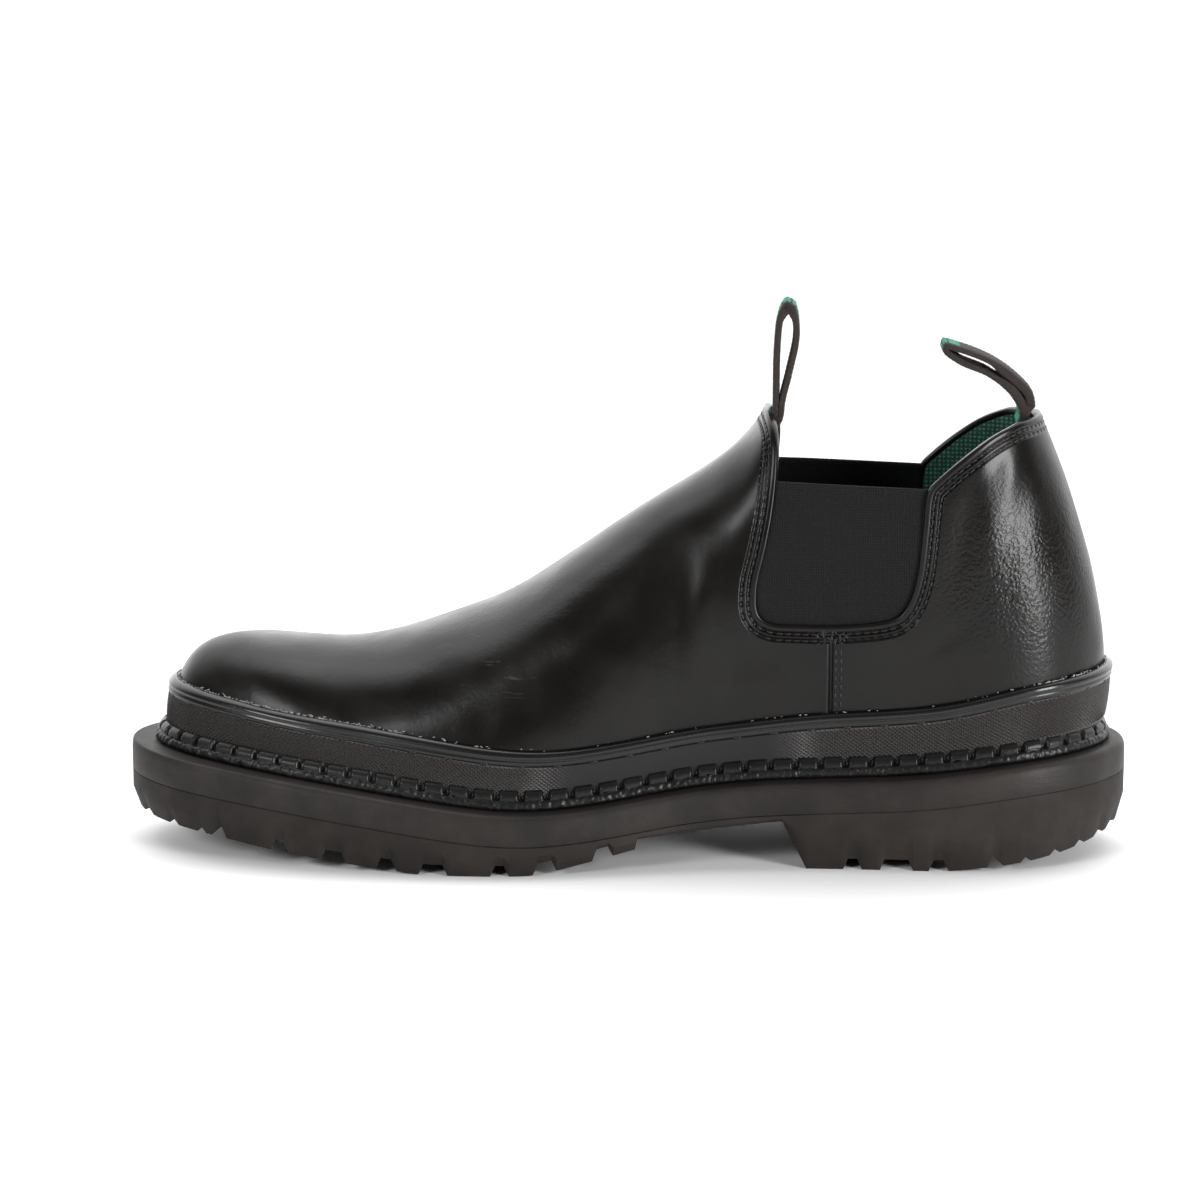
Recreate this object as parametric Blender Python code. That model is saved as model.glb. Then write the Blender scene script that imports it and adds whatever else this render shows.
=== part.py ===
"""Side gore work boot for the right foot, in metres.

Frame: the toe points to -X and the heel to +X, Z is up, and -Y is the medial (inner) side.
The last is a family of wall curves. Each starts on the feather line, where the upper meets the
sole, and ends on the ridge line over the foot. Every piece round the foot is placed from it.
"""

import bmesh
import bpy
import numpy as np

# Sizes of the upper
FOOT_LENGTH = 0.2896
BALL_WIDTH = 0.090
LAST_HEIGHT = 0.186
TOE_BEND = 0.005
WALL = 0.0024
COLLAR_HEIGHT = 0.1366
GAP = 0.0003

# Sizes of the sole
LEDGE_AT_BALL = 0.0188
TOE_RISE = 0.0137
HEEL_RISE = 0.0160
MIDSOLE = 0.0095
EDGE_ROUND = 0.0044
TOE_MARGIN = 0.0129
SIDE_MARGIN = 0.0120
HEEL_MARGIN = 0.0103
TOE_EDGE = 0.0120
SIDE_EDGE = 0.0090
HEEL_EDGE = 0.0067
TOE_SPRING = 0.0115
LUG_DEPTH = 0.0034
SOLE_TAPER = 0.0020

# Sizes of the welt, the rand, the insole and the gores
WELT_WIDTH = 0.0054
WELT_EDGE = 0.0030
WELT_HEIGHT = 0.0066
RAND = 0.0015
BEAD_HEIGHT = 0.0048
BEAD_DEPTH = 0.0010
RAND_HEIGHT = 0.0250
INSOLE = 0.0032
GORE_DEPTH = 0.0010
GORE_THICK = 0.0013

# Sizes of the pull loops
LOOP_WIDTH = 0.020
FRONT_LOOP_REACH = 0.034
BACK_LOOP_REACH = 0.030
BACK_LOOP_INSET = 0.0026

SOLE_LENGTH = FOOT_LENGTH + TOE_MARGIN + HEEL_MARGIN
TOE_X = TOE_MARGIN - SOLE_LENGTH / 2
MEDIAL, LATERAL = -1, 1

# Feather line: station as a share of FOOT_LENGTH, half widths as shares of BALL_WIDTH
OUTLINE = np.array([
    # station, medial, lateral
    (0.000, 0.000, 0.000),
    (0.035, 0.216, 0.206),
    (0.100, 0.345, 0.330),
    (0.180, 0.430, 0.420),
    (0.280, 0.486, 0.478),
    (0.360, 0.500, 0.498),
    (0.450, 0.456, 0.498),
    (0.550, 0.376, 0.452),
    (0.650, 0.334, 0.392),
    (0.750, 0.330, 0.352),
    (0.850, 0.340, 0.332),
    (0.930, 0.304, 0.292),
    (0.980, 0.176, 0.170),
    (1.000, 0.000, 0.000),
])

# Top of the sole at its edge: station as a share of SOLE_LENGTH, shares of the two rises
LEDGE = np.array([
    # station, toe, heel
    (0.000, 1.00, 0.00),
    (0.103, 0.79, 0.00),
    (0.208, 0.51, 0.00),
    (0.310, 0.20, 0.00),
    (0.414, 0.00, 0.00),
    (0.510, 0.00, 0.18),
    (0.567, 0.00, 0.34),
    (0.627, 0.00, 0.45),
    (0.738, 0.00, 0.55),
    (0.811, 0.00, 0.66),
    (0.887, 0.00, 0.86),
    (1.000, 0.00, 1.00),
])

# Ridge line over the foot: shares of FOOT_LENGTH and of LAST_HEIGHT
RIDGE = np.array([
    # station, height
    (0.090, 0.348),
    (0.135, 0.343),
    (0.183, 0.340),
    (0.228, 0.346),
    (0.283, 0.371),
    (0.345, 0.406),
    (0.411, 0.462),
    (0.476, 0.531),
    (0.542, 0.599),
    (0.601, 0.660),
    (0.635, 0.715),
    (0.656, 0.777),
    (0.676, 0.852),
    (0.707, 0.927),
    (0.759, 0.981),
    (0.835, 1.000),
])

# Shape of the wall curves round the foot
WALLS = np.array([
    # station, lean in degrees (medial, lateral), rise share, crown share (medial, lateral)
    (0.000, 3, 3, 0.80, 0.66, 0.66),
    (0.035, 2, 3, 0.76, 0.64, 0.64),
    (0.090, 3, 6, 0.70, 0.62, 0.60),
    (0.206, 5, 8, 0.62, 0.62, 0.52),
    (0.376, 8, 10, 0.52, 0.62, 0.52),
    (0.500, 8, 8, 0.48, 0.70, 0.62),
    (0.624, 5, 5, 0.50, 0.84, 0.80),
    (0.835, 4, 4, 0.52, 0.96, 0.96),
    (0.905, 8, 8, 0.42, 0.66, 0.66),
    (0.970, 15, 15, 0.36, 0.30, 0.30),
    (1.000, 20, 20, 0.34, 0.10, 0.10),
])

# Topline with its two U-shaped cut-outs, from the front: shares of FOOT_LENGTH and COLLAR_HEIGHT
TOPLINE = np.array([
    # station, height
    (0.560, 1.003),
    (0.645, 1.003),
    (0.652, 0.975),
    (0.656, 0.915),
    (0.655, 0.858),
    (0.651, 0.780),
    (0.643, 0.690),
    (0.6365, 0.625),
    (0.636, 0.582),
    (0.642, 0.554),
    (0.660, 0.540),
    (0.706, 0.538),
    (0.758, 0.545),
    (0.786, 0.560),
    (0.800, 0.606),
    (0.807, 0.670),
    (0.811, 0.755),
    (0.815, 0.846),
    (0.822, 0.862),
    (0.832, 0.882),
    (0.853, 0.919),
    (0.885, 0.965),
    (0.910, 0.989),
    (0.960, 1.001),
])
GORE_ROWS = slice(4, 18)

# Rand: station as a share of FOOT_LENGTH, height as a share of RAND_HEIGHT
RAND_TOP = np.array([
    # station, height
    (0.00, 0.80),
    (0.15, 0.75),
    (0.32, 0.73),
    (0.45, 0.70),
    (0.60, 0.71),
    (0.72, 0.78),
    (0.83, 0.81),
    (0.93, 0.92),
    (1.00, 0.97),
])

# Underside: station as a share of SOLE_LENGTH, height as a share of TOE_SPRING
UNDERSIDE = np.array([
    # station, height
    (0.000, 1.00),
    (0.110, 0.66),
    (0.179, 0.40),
    (0.230, 0.23),
    (0.278, 0.10),
    (0.322, 0.00),
    (0.405, 0.00),
    (0.437, 0.12),
    (0.475, 0.35),
    (0.516, 0.61),
])
ARCH = ((0.516, 0.88), (0.658, 1.29))
HEEL_UNDERSIDE = np.array([
    # station, height
    (0.682, 0.00),
    (0.800, 0.00),
    (0.856, 0.10),
    (0.884, 0.19),
    (0.930, 0.40),
    (0.970, 0.65),
    (1.000, 0.88),
])

# Tread: first and last station of each lug, as shares of FOOT_LENGTH
FORE_LUGS = (
    (0.093, 0.139),
    (0.157, 0.190),
    (0.216, 0.247),
    (0.268, 0.291),
    (0.320, 0.361),
    (0.379, 0.402),
    (0.425, 0.460),
    (0.481, 0.504),
)
HEEL_LUGS = (
    (0.692, 0.732),
    (0.752, 0.771),
    (0.806, 0.822),
    (0.842, 0.880),
)
HEEL_BREAST = 0.665
LUG_SLOPE = 0.005
NOTCHES = (0.014, 0.040, 0.068, 0.915, 0.940, 0.962, 0.980, 0.992)
NOTCH_SIZE = (0.0045, 0.42)
CHANNELS = ((0.27, 0.35), (0.65, 0.73))


def natural_cubic(knots, values):
    """The smooth curve through the knots whose bending ends at both ends."""
    knots, values = np.asarray(knots, float), np.asarray(values, float)
    last = len(knots) - 1
    step = np.diff(knots)
    system = np.eye(last + 1)
    right = np.zeros(last + 1)
    for row in range(1, last):
        system[row, row - 1] = step[row - 1]
        system[row, row] = 2 * (step[row - 1] + step[row])
        system[row, row + 1] = step[row]
        slopes = np.diff(values[row - 1:row + 2]) / step[row - 1:row + 1]
        right[row] = 6 * (slopes[1] - slopes[0])
    bend = np.linalg.solve(system, right)

    def curve(at):
        at = np.asarray(at, float)
        i = np.clip(np.searchsorted(knots, at) - 1, 0, last - 1)
        after, before, width = knots[i + 1] - at, at - knots[i], step[i]
        cubic = (bend[i] * after ** 3 + bend[i + 1] * before ** 3) / (6 * width)
        near = (values[i] / width - bend[i] * width / 6) * after
        far = (values[i + 1] / width - bend[i + 1] * width / 6) * before
        return cubic + near + far

    return curve


def steady_cubic(knots, values):
    """The smooth curve through the knots that never swings past a value."""
    knots, values = np.asarray(knots, float), np.asarray(values, float)
    step = np.diff(knots)
    slope = np.diff(values) / step
    tangent = np.zeros(len(knots))
    tangent[0], tangent[-1] = slope[0], slope[-1]
    for row in range(1, len(knots) - 1):
        if slope[row - 1] * slope[row] > 0:
            first = 2 * step[row] + step[row - 1]
            second = step[row] + 2 * step[row - 1]
            tangent[row] = (first + second) / (first / slope[row - 1] + second / slope[row])

    def curve(at):
        at = np.asarray(at, float)
        i = np.clip(np.searchsorted(knots, at) - 1, 0, len(step) - 1)
        u = (at - knots[i]) / step[i]
        rise = values[i] * (1 + 2 * u) * (1 - u) ** 2 + values[i + 1] * u * u * (3 - 2 * u)
        lead = tangent[i] * (1 - u) ** 2 * u + tangent[i + 1] * u * u * (u - 1)
        return rise + step[i] * lead

    return curve


def turn_of(station):
    """Turn parameter, from 0 at the toe to 1 at the heel, that bunches stations at both tips."""
    return np.arccos(1 - 2 * np.clip(station, 0, 1)) / np.pi


def station_of(turn):
    return (1 - np.cos(np.pi * turn)) / 2


half_width = {
    MEDIAL: natural_cubic(turn_of(OUTLINE[:, 0]), OUTLINE[:, 1] * BALL_WIDTH),
    LATERAL: natural_cubic(turn_of(OUTLINE[:, 0]), OUTLINE[:, 2] * BALL_WIDTH),
}
ledge_height = natural_cubic(
    (LEDGE[:, 0] - 0.5) * SOLE_LENGTH,
    LEDGE_AT_BALL + LEDGE[:, 1] * TOE_RISE + LEDGE[:, 2] * HEEL_RISE,
)
ridge_points = np.stack([TOE_X + RIDGE[:, 0] * FOOT_LENGTH, RIDGE[:, 1] * LAST_HEIGHT], axis=1)
ridge_walk = np.append(0, np.cumsum(np.hypot(*np.diff(ridge_points, axis=0).T)))
ridge_x = natural_cubic(ridge_walk, ridge_points[:, 0])
ridge_z = natural_cubic(ridge_walk, ridge_points[:, 1])
TOE_POLE, BACK_POLE = turn_of(RIDGE[0, 0]), turn_of(RIDGE[-1, 0])
wall_shape = [steady_cubic(turn_of(WALLS[:, 0]), WALLS[:, column]) for column in range(1, 6)]
rand_height = steady_cubic(turn_of(RAND_TOP[:, 0]), RAND_TOP[:, 1] * RAND_HEIGHT)


def eased(share, soft=0.22):
    """Travel from 0 to 1 that starts and stops gently."""
    grid = np.linspace(0, 1, 801)
    ramp = np.clip(np.minimum(grid, 1 - grid) / soft, 0, 1)
    pace = ramp * ramp * (3 - 2 * ramp)
    walked = np.append(0, np.cumsum((pace[1:] + pace[:-1]) / 2))
    return np.interp(share, grid, walked / walked[-1])


def feather(turn, side):
    """Feather line before the toe's bend: points and outward normals in plan."""
    def plan(at):
        return TOE_X + FOOT_LENGTH * station_of(at), side * half_width[side](at)

    x, y = plan(turn)
    (x0, y0), (x1, y1) = plan(turn - 1e-4), plan(turn + 1e-4)
    normal = np.stack([y0 - y1, x1 - x0], axis=-1) * side
    normal /= np.linalg.norm(normal, axis=-1, keepdims=True)
    return np.stack([x, y], axis=-1), normal


def wall(turn, share, side):
    """Wall curves of the last: points by turn round the foot and by share from feather to ridge."""
    turn, share = np.asarray(turn, float), np.asarray(share, float)[None, :, None]
    plan, normal = feather(turn, side)
    foot = np.column_stack([plan, ledge_height(plan[:, 0]) + GAP])
    walked = ridge_walk[-1] * eased((turn - TOE_POLE) / (BACK_POLE - TOE_POLE))
    top = np.stack([ridge_x(walked), 0 * turn, ridge_z(walked)], axis=1)
    at_tip = (turn < TOE_POLE) | (turn > BACK_POLE)
    reach = plan - top[:, :2]
    length = np.linalg.norm(reach, axis=1)
    radial = np.column_stack([reach / np.maximum(length, 1e-9)[:, None], 0 * turn])
    across = np.column_stack([0 * turn, side + 0 * turn, 0 * turn])
    arrive = np.where(at_tip[:, None], radial, across)
    lean = np.radians(wall_shape[0 if side == MEDIAL else 1](turn))
    rise = wall_shape[2](turn) * (top[:, 2] - foot[:, 2])
    crown = wall_shape[3 if side == MEDIAL else 4](turn)
    crown = crown * np.where(at_tip, length, np.abs(plan[:, 1]))
    leave = np.column_stack([normal * np.sin(lean)[:, None], np.cos(lean)])
    near = foot + rise[:, None] * leave
    far = top + crown[:, None] * arrive
    back = 1 - share
    return (
        foot[:, None] * back ** 3
        + 3 * near[:, None] * share * back ** 2
        + 3 * far[:, None] * share ** 2 * back
        + top[:, None] * share ** 3
    )


def bent(points):
    """The points with the toe turned to the medial side."""
    points = np.array(points, float)
    ball = TOE_X + 0.36 * FOOT_LENGTH
    forward = np.clip((ball - points[..., 0]) / (ball - TOE_X), 0, None)
    points[..., 1] += MEDIAL * TOE_BEND * forward ** 2
    return points


def turns(toe, middle, heel):
    """Turn values in three runs that meet at the two poles."""
    return np.concatenate([
        np.linspace(0, TOE_POLE, toe + 1)[:-1],
        np.linspace(TOE_POLE, BACK_POLE, middle + 1)[:-1],
        np.linspace(BACK_POLE, 1, heel + 1),
    ])


def around(medial, lateral):
    """One closed round from the two sides, each ordered from toe to heel along axis 0."""
    return np.concatenate([medial, lateral[-2:0:-1]])


def outline(turn, offset):
    """Closed plan outline moved outward by offset, one value or one per turn."""
    sides = []
    for side in (MEDIAL, LATERAL):
        plan, normal = feather(turn, side)
        sides.append(plan + np.broadcast_to(offset, turn.shape)[:, None] * normal)
    return around(*sides)


def margin(turn, toe, middle, heel):
    """Overhang round the sole: toe, side and heel values with soft changes between."""
    station = station_of(turn)
    front = np.clip(1 - station / 0.16, 0, 1)
    rear = np.clip((station - 0.80) / 0.20, 0, 1)
    front, rear = front * front * (3 - 2 * front), rear * rear * (3 - 2 * rear)
    return middle + (toe - middle) * front + (heel - middle) * rear


def clear_scene():
    for item in list(bpy.data.objects):
        bpy.data.objects.remove(item)
    for group in list(bpy.data.collections):
        bpy.data.collections.remove(group)


def new_collection(name, cutters):
    group = bpy.data.collections.new(name)
    bpy.context.scene.collection.children.link(group)
    group.hide_render = cutters
    return group


def material(name, colour, roughness):
    made = bpy.data.materials.new(name)
    made.use_nodes = True
    shader = made.node_tree.nodes["Principled BSDF"]
    shader.inputs["Base Color"].default_value = (*colour, 1)
    shader.inputs["Roughness"].default_value = roughness
    return made


def add(name, points, faces, group, paint=None, merge=1e-6):
    """A mesh object with its doubled points merged and its faces turned outward."""
    mesh = bpy.data.meshes.new(name)
    mesh.from_pydata([tuple(point) for point in points], [], faces)
    work = bmesh.new()
    work.from_mesh(mesh)
    bmesh.ops.remove_doubles(work, verts=work.verts, dist=merge)
    bmesh.ops.recalc_face_normals(work, faces=work.faces)
    if work.calc_volume(signed=True) < 0:
        bmesh.ops.reverse_faces(work, faces=work.faces)
    work.to_mesh(mesh)
    work.free()
    mesh.validate()
    made = bpy.data.objects.new(name, mesh)
    group.objects.link(made)
    if paint:
        mesh.materials.append(paint)
    else:
        made.hide_render = True
        made.display_type = "WIRE"
    return made


def strip_faces(count, first, second):
    """Quads that join two closed rounds of count points, by their first indices."""
    return [
        (first + i, first + (i + 1) % count, second + (i + 1) % count, second + i)
        for i in range(count)
    ]


def ladder_faces(columns, first):
    """Quads across a closed round, from medial to lateral at each pair of turns."""
    count = 2 * columns - 2
    lateral = [first] + [first + count - i for i in range(1, columns - 1)] + [first + columns - 1]
    faces = []
    for i in range(columns - 1):
        corners = [first + i, first + i + 1, lateral[i + 1], lateral[i]]
        faces.append(tuple(dict.fromkeys(corners)))
    return faces


def layered(name, rounds, group, paint):
    """A solid from closed rounds stacked from the bottom up, with a ladder cap at each end."""
    count = len(rounds[0])
    columns = count // 2 + 1
    faces = ladder_faces(columns, 0) + ladder_faces(columns, count * (len(rounds) - 1))
    for level in range(len(rounds) - 1):
        faces += strip_faces(count, count * level, count * (level + 1))
    return add(name, bent(np.concatenate(rounds)), faces, group, paint)


def hoop(name, sections, group, paint):
    """A closed ring from closed sections round the foot: rounds, section points, 3."""
    count, corners, _ = sections.shape
    faces = []
    for corner in range(corners):
        following = (corner + 1) % corners
        faces += [
            (
                i * corners + corner,
                (i + 1) % count * corners + corner,
                (i + 1) % count * corners + following,
                i * corners + following,
            )
            for i in range(count)
        ]
    return add(name, bent(sections.reshape(-1, 3)), faces, group, paint)


def raised(turn, heights, offset):
    """Round on the last at heights above its foot, moved outward in plan by offset."""
    sides = []
    for side in (MEDIAL, LATERAL):
        curves = wall(turn, np.linspace(0, 1, 81), side)
        _, normal = feather(turn, side)
        points = []
        for curve, height in zip(curves, np.broadcast_to(heights, turn.shape)):
            level = curve[0, 2] + height
            points.append([np.interp(level, curve[:, 2], curve[:, axis]) for axis in range(3)])
        points = np.array(points)
        points[:, :2] += np.broadcast_to(offset, turn.shape)[:, None] * normal
        sides.append(points)
    return around(*sides)


def last_surface(turn, share):
    """Points and quads of the last, with the two sides joined along the ridge."""
    rows = len(share)
    points, faces = [], []
    for side in (MEDIAL, LATERAL):
        grid = wall(turn, share, side)
        start = len(points) * grid.shape[0] * rows
        points.append(grid.reshape(-1, 3))
        for i in range(len(turn) - 1):
            for j in range(rows - 1):
                corner = start + i * rows + j
                quad = (corner, corner + rows, corner + rows + 1, corner + 1)
                faces.append(quad if side == MEDIAL else quad[::-1])
    return np.concatenate(points), faces


def thickened(name, points, faces, outer, inner, group, paint, level_foot=True):
    """A closed slab between two offsets of an open surface, along its own normals."""
    work = bmesh.new()
    made = [work.verts.new(point) for point in points]
    for face in faces:
        work.faces.new([made[i] for i in face])
    bmesh.ops.remove_doubles(work, verts=work.verts, dist=1e-6)
    work.normal_update()
    work.verts.index_update()
    core = np.array([vert.co for vert in work.verts])
    normals = np.array([vert.normal for vert in work.verts])
    skin = [[vert.index for vert in face.verts] for face in work.faces]
    rim = [edge for edge in work.edges if edge.is_boundary]
    rim_ends = []
    for edge in rim:
        loop = edge.link_loops[0]
        rim_ends.append((loop.vert.index, loop.link_loop_next.vert.index))
    work.free()
    normals[core[:, 2] < core[:, 2].min() - 1] = 0
    over, under = core + outer * normals, core + inner * normals
    if level_foot:
        ends = sorted({i for pair in rim_ends for i in pair})
        over[ends, 2] = core[ends, 2]
        under[ends, 2] = core[ends, 2]
    count = len(core)
    shell = [tuple(face) for face in skin]
    shell += [tuple(i + count for i in face[::-1]) for face in skin]
    shell += [(b, a, a + count, b + count) for a, b in rim_ends]
    return add(name, bent(np.concatenate([over, under])), shell, group, paint)


def smooth_line(points, count):
    """Evenly spaced points on the smooth line through the given ones."""
    walk = np.append(0, np.cumsum(np.hypot(*np.diff(points, axis=0).T)))
    at = np.linspace(0, walk[-1], count)
    return np.stack([steady_cubic(walk, points[:, axis])(at) for axis in (0, 1)], axis=1)


def prism(name, profile, low, high, group, paint=None, hole=None):
    """A side view profile of (x, z) points carried across from y = low to y = high."""
    count = len(profile)
    points = [(x, y, z) for y in (low, high) for x, z in profile]
    faces = strip_faces(count, 0, count)
    if hole is None:
        faces += [tuple(range(count)), tuple(range(2 * count - 1, count - 1, -1))]
    else:
        start = 2 * count
        points += [(x, y, z) for y in (low, high) for x, z in hole]
        faces += strip_faces(count, start, start + count)
        faces += strip_faces(count, 0, start) + strip_faces(count, count, start + count)
    return add(name, np.array(points), faces, group, paint)


def boolean(target, cutter, operation):
    modifier = target.modifiers.new("cut", "BOOLEAN")
    modifier.operation = operation
    modifier.solver = "EXACT"
    modifier.object = cutter


def topline_points():
    scale = np.array([FOOT_LENGTH, COLLAR_HEIGHT])
    return TOPLINE * scale + (TOE_X, 0)


# The scene
clear_scene()
boot = new_collection("side_gore_boot", False)
helpers = new_collection("cutters", True)
leather = material("black_leather", (0.012, 0.011, 0.011), 0.34)
rubber = material("sole_rubber", (0.022, 0.018, 0.016), 0.72)
midsole_rubber = material("midsole_rubber", (0.026, 0.021, 0.019), 0.66)
welt_rubber = material("welt_rubber", (0.020, 0.017, 0.015), 0.70)
rand_rubber = material("rand_rubber", (0.016, 0.014, 0.013), 0.52)
elastic = material("gore_elastic", (0.010, 0.010, 0.011), 0.86)
footbed = material("footbed_fabric", (0.030, 0.060, 0.050), 0.90)
webbing = material("loop_webbing", (0.030, 0.022, 0.020), 0.88)

# Outsole: the columns follow the tread, so that the grooves need no cutting
pad, depth_share = NOTCH_SIZE
tread = []
for lugs in (FORE_LUGS, HEEL_LUGS):
    for first, last in lugs:
        tread += [(first, 0.0), (last, 0.0)]
    for (_, last), (first, _) in zip(lugs, lugs[1:]):
        tread += [(last + LUG_SLOPE, 1.0), (first - LUG_SLOPE, 1.0)]
tread += [(FORE_LUGS[0][0] - LUG_SLOPE, 1.0), (FORE_LUGS[0][0] - 3 * LUG_SLOPE, 0.0)]
tread += [(HEEL_LUGS[-1][1] + LUG_SLOPE, 1.0), (HEEL_LUGS[-1][1] + 3 * LUG_SLOPE, 0.0)]
for notch in NOTCHES:
    tread += [(notch, depth_share), (notch - pad, 0.0), (notch + pad, 0.0)]
tread += [(0.0, 0.0), (1.0, 0.0)]
tread = sorted((station, cut) for station, cut in tread if 0 <= station <= 1)
arch_start, arch_end = FORE_LUGS[-1][1] + 0.002, HEEL_BREAST
stations = [station for station, _ in tread] + [arch_start, arch_end]
stations += list(np.linspace(arch_start, arch_end, 7)[1:-1])
stations = np.array(sorted(stations))
cuts = np.array([dict(tread).get(station, 0.0) for station in stations])
sole_turn = turn_of(stations)
sole_margin = margin(sole_turn, TOE_MARGIN, SIDE_MARGIN, HEEL_MARGIN)
low_outline = outline(sole_turn, sole_margin - SOLE_TAPER)
full_outline = outline(sole_turn, sole_margin)
in_arch = (stations > FORE_LUGS[-1][1]) & (stations < HEEL_LUGS[0][0])
in_heel = stations >= HEEL_LUGS[0][0]
fore_low = steady_cubic((UNDERSIDE[:, 0] - 0.5) * SOLE_LENGTH, UNDERSIDE[:, 1] * TOE_SPRING)
heel_low = steady_cubic(
    (HEEL_UNDERSIDE[:, 0] - 0.5) * SOLE_LENGTH, HEEL_UNDERSIDE[:, 1] * TOE_SPRING
)
arch_low = np.array(ARCH)
count = len(full_outline)
columns = len(stations)
mirror = np.append(np.arange(columns), np.arange(columns - 2, 0, -1))


def underside(x, column):
    """Height of the underside, lug faces and grooves, for an x and the column it lies on."""
    rising = np.interp(x, (arch_low[:, 0] - 0.5) * SOLE_LENGTH, arch_low[:, 1] * TOE_SPRING)
    flat = np.where(in_heel[column], heel_low(x), fore_low(x))
    return np.where(in_arch[column], rising, flat)


lug_line = underside(low_outline[:, 0], mirror)
edge_low = lug_line + LUG_DEPTH * cuts[mirror]
parting = ledge_height(full_outline[:, 0]) - MIDSOLE
parting_top = np.column_stack([full_outline, parting])
mid_height = edge_low + 0.5 * (parting - edge_low)
points = [
    np.column_stack([low_outline, edge_low]),
    np.column_stack([full_outline, mid_height]),
    parting_top,
]
faces = strip_faces(count, 0, count) + strip_faces(count, count, 2 * count)
faces += ladder_faces(columns, 2 * count)
lateral_of = [0] + [count - i for i in range(1, columns - 1)] + [columns - 1]
channel_rows = [
    (share, cut)
    for start, end in CHANNELS
    for share, cut in ((start, 0.0), (start + 0.01, 1.0), (end - 0.01, 1.0), (end, 0.0))
]
grid = [list(range(columns))]
total = 3 * count
has_tread = ~in_arch & (stations > 0.05) & (stations < 0.93)
for share, cut in channel_rows:
    near, far = low_outline[:columns], low_outline[lateral_of]
    row = near + share * (far - near)
    deep = np.maximum(cuts, cut * has_tread)
    height = underside(row[:, 0], np.arange(columns)) + LUG_DEPTH * deep
    points.append(np.column_stack([row, height]))
    grid.append(list(range(total, total + columns)))
    total += columns
grid.append(lateral_of)
for row in grid:
    row[0], row[-1] = 0, columns - 1
for near, far in zip(grid, grid[1:]):
    for i in range(columns - 1):
        corners = [near[i], near[i + 1], far[i + 1], far[i]]
        if len(set(corners)) > 2:
            faces.append(tuple(dict.fromkeys(corners)))
used = np.concatenate(points)
kept = sorted({i for face in faces for i in face})
order = {old: new for new, old in enumerate(kept)}
faces = [tuple(order[i] for i in face) for face in faces]
add("outsole", bent(used[kept]), faces, boot, rubber)

# Midsole with its rounded ledge
turn = turns(9, 24, 9)
edge = margin(turn, TOE_MARGIN, SIDE_MARGIN, HEEL_MARGIN)
ledge_edge = margin(turn, TOE_EDGE, SIDE_EDGE, HEEL_EDGE)
bottom = outline(turn, edge)
levels = [np.column_stack([bottom, ledge_height(bottom[:, 0]) - MIDSOLE + GAP])]
for angle in np.radians((0, 30, 60, 90)):
    inward = (edge - ledge_edge) * (1 - np.cos(angle))
    level = outline(turn, edge - inward)
    drop = EDGE_ROUND * (1 - np.sin(angle))
    levels.append(np.column_stack([level, ledge_height(level[:, 0]) - drop]))
layered("midsole", levels, boot, midsole_rubber)

# Welt
inner_low = outline(turn, RAND + 2 * GAP)
outer_edge = outline(turn, WELT_WIDTH)
inner_high = raised(turn, WELT_HEIGHT - GAP, RAND + 2 * GAP)
shoulder = 0.3 * outer_edge + 0.7 * inner_high[:, :2]
sections = np.stack([
    np.column_stack([inner_low, ledge_height(inner_low[:, 0]) + GAP]),
    np.column_stack([outer_edge, ledge_height(outer_edge[:, 0]) + GAP]),
    np.column_stack([outer_edge, ledge_height(outer_edge[:, 0]) + WELT_EDGE]),
    np.column_stack([shoulder, ledge_height(shoulder[:, 0]) + WELT_HEIGHT - 0.0006]),
    inner_high,
], axis=1)
hoop("welt", sections, boot, welt_rubber)

# Rand with the bead on its top edge
top = rand_height(turn)
skin = RAND + GAP
sections = np.stack([
    raised(turn, 0.0, GAP),
    raised(turn, 0.0, skin),
    raised(turn, top - BEAD_HEIGHT, skin),
    raised(turn, top - 0.80 * BEAD_HEIGHT, skin + 0.75 * BEAD_DEPTH),
    raised(turn, top - 0.45 * BEAD_HEIGHT, skin + BEAD_DEPTH),
    raised(turn, top - 0.12 * BEAD_HEIGHT, skin + 0.45 * BEAD_DEPTH),
    raised(turn, top, 0.55 * skin),
    raised(turn, top, GAP),
    raised(turn, 0.82 * top, GAP),
    raised(turn, 0.60 * top, GAP),
    raised(turn, 0.30 * top, GAP),
], axis=1)
hoop("rand", sections, boot, rand_rubber)

# Insole
inset = outline(turn, -(WALL + 2 * GAP))
base = ledge_height(inset[:, 0]) + GAP
levels = [np.column_stack([inset, base]), np.column_stack([inset, base + INSOLE])]
layered("insole", levels, boot, footbed)

# Upper: hollow last, cut along the topline
points, faces = last_surface(turns(9, 24, 9), np.linspace(0, 1, 14))
upper = thickened("upper", points, faces, 0, -WALL, boot, leather)
line = topline_points()
profile = smooth_line(line[1:-1], 64)
above = (0, LAST_HEIGHT / 2)
profile = np.vstack([line[0], profile, line[-1], line[-1] + above, line[0] + above])
collar = prism("collar_cutter", profile, -BALL_WIDTH, BALL_WIDTH, helpers)
boolean(upper, collar, "DIFFERENCE")

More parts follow.
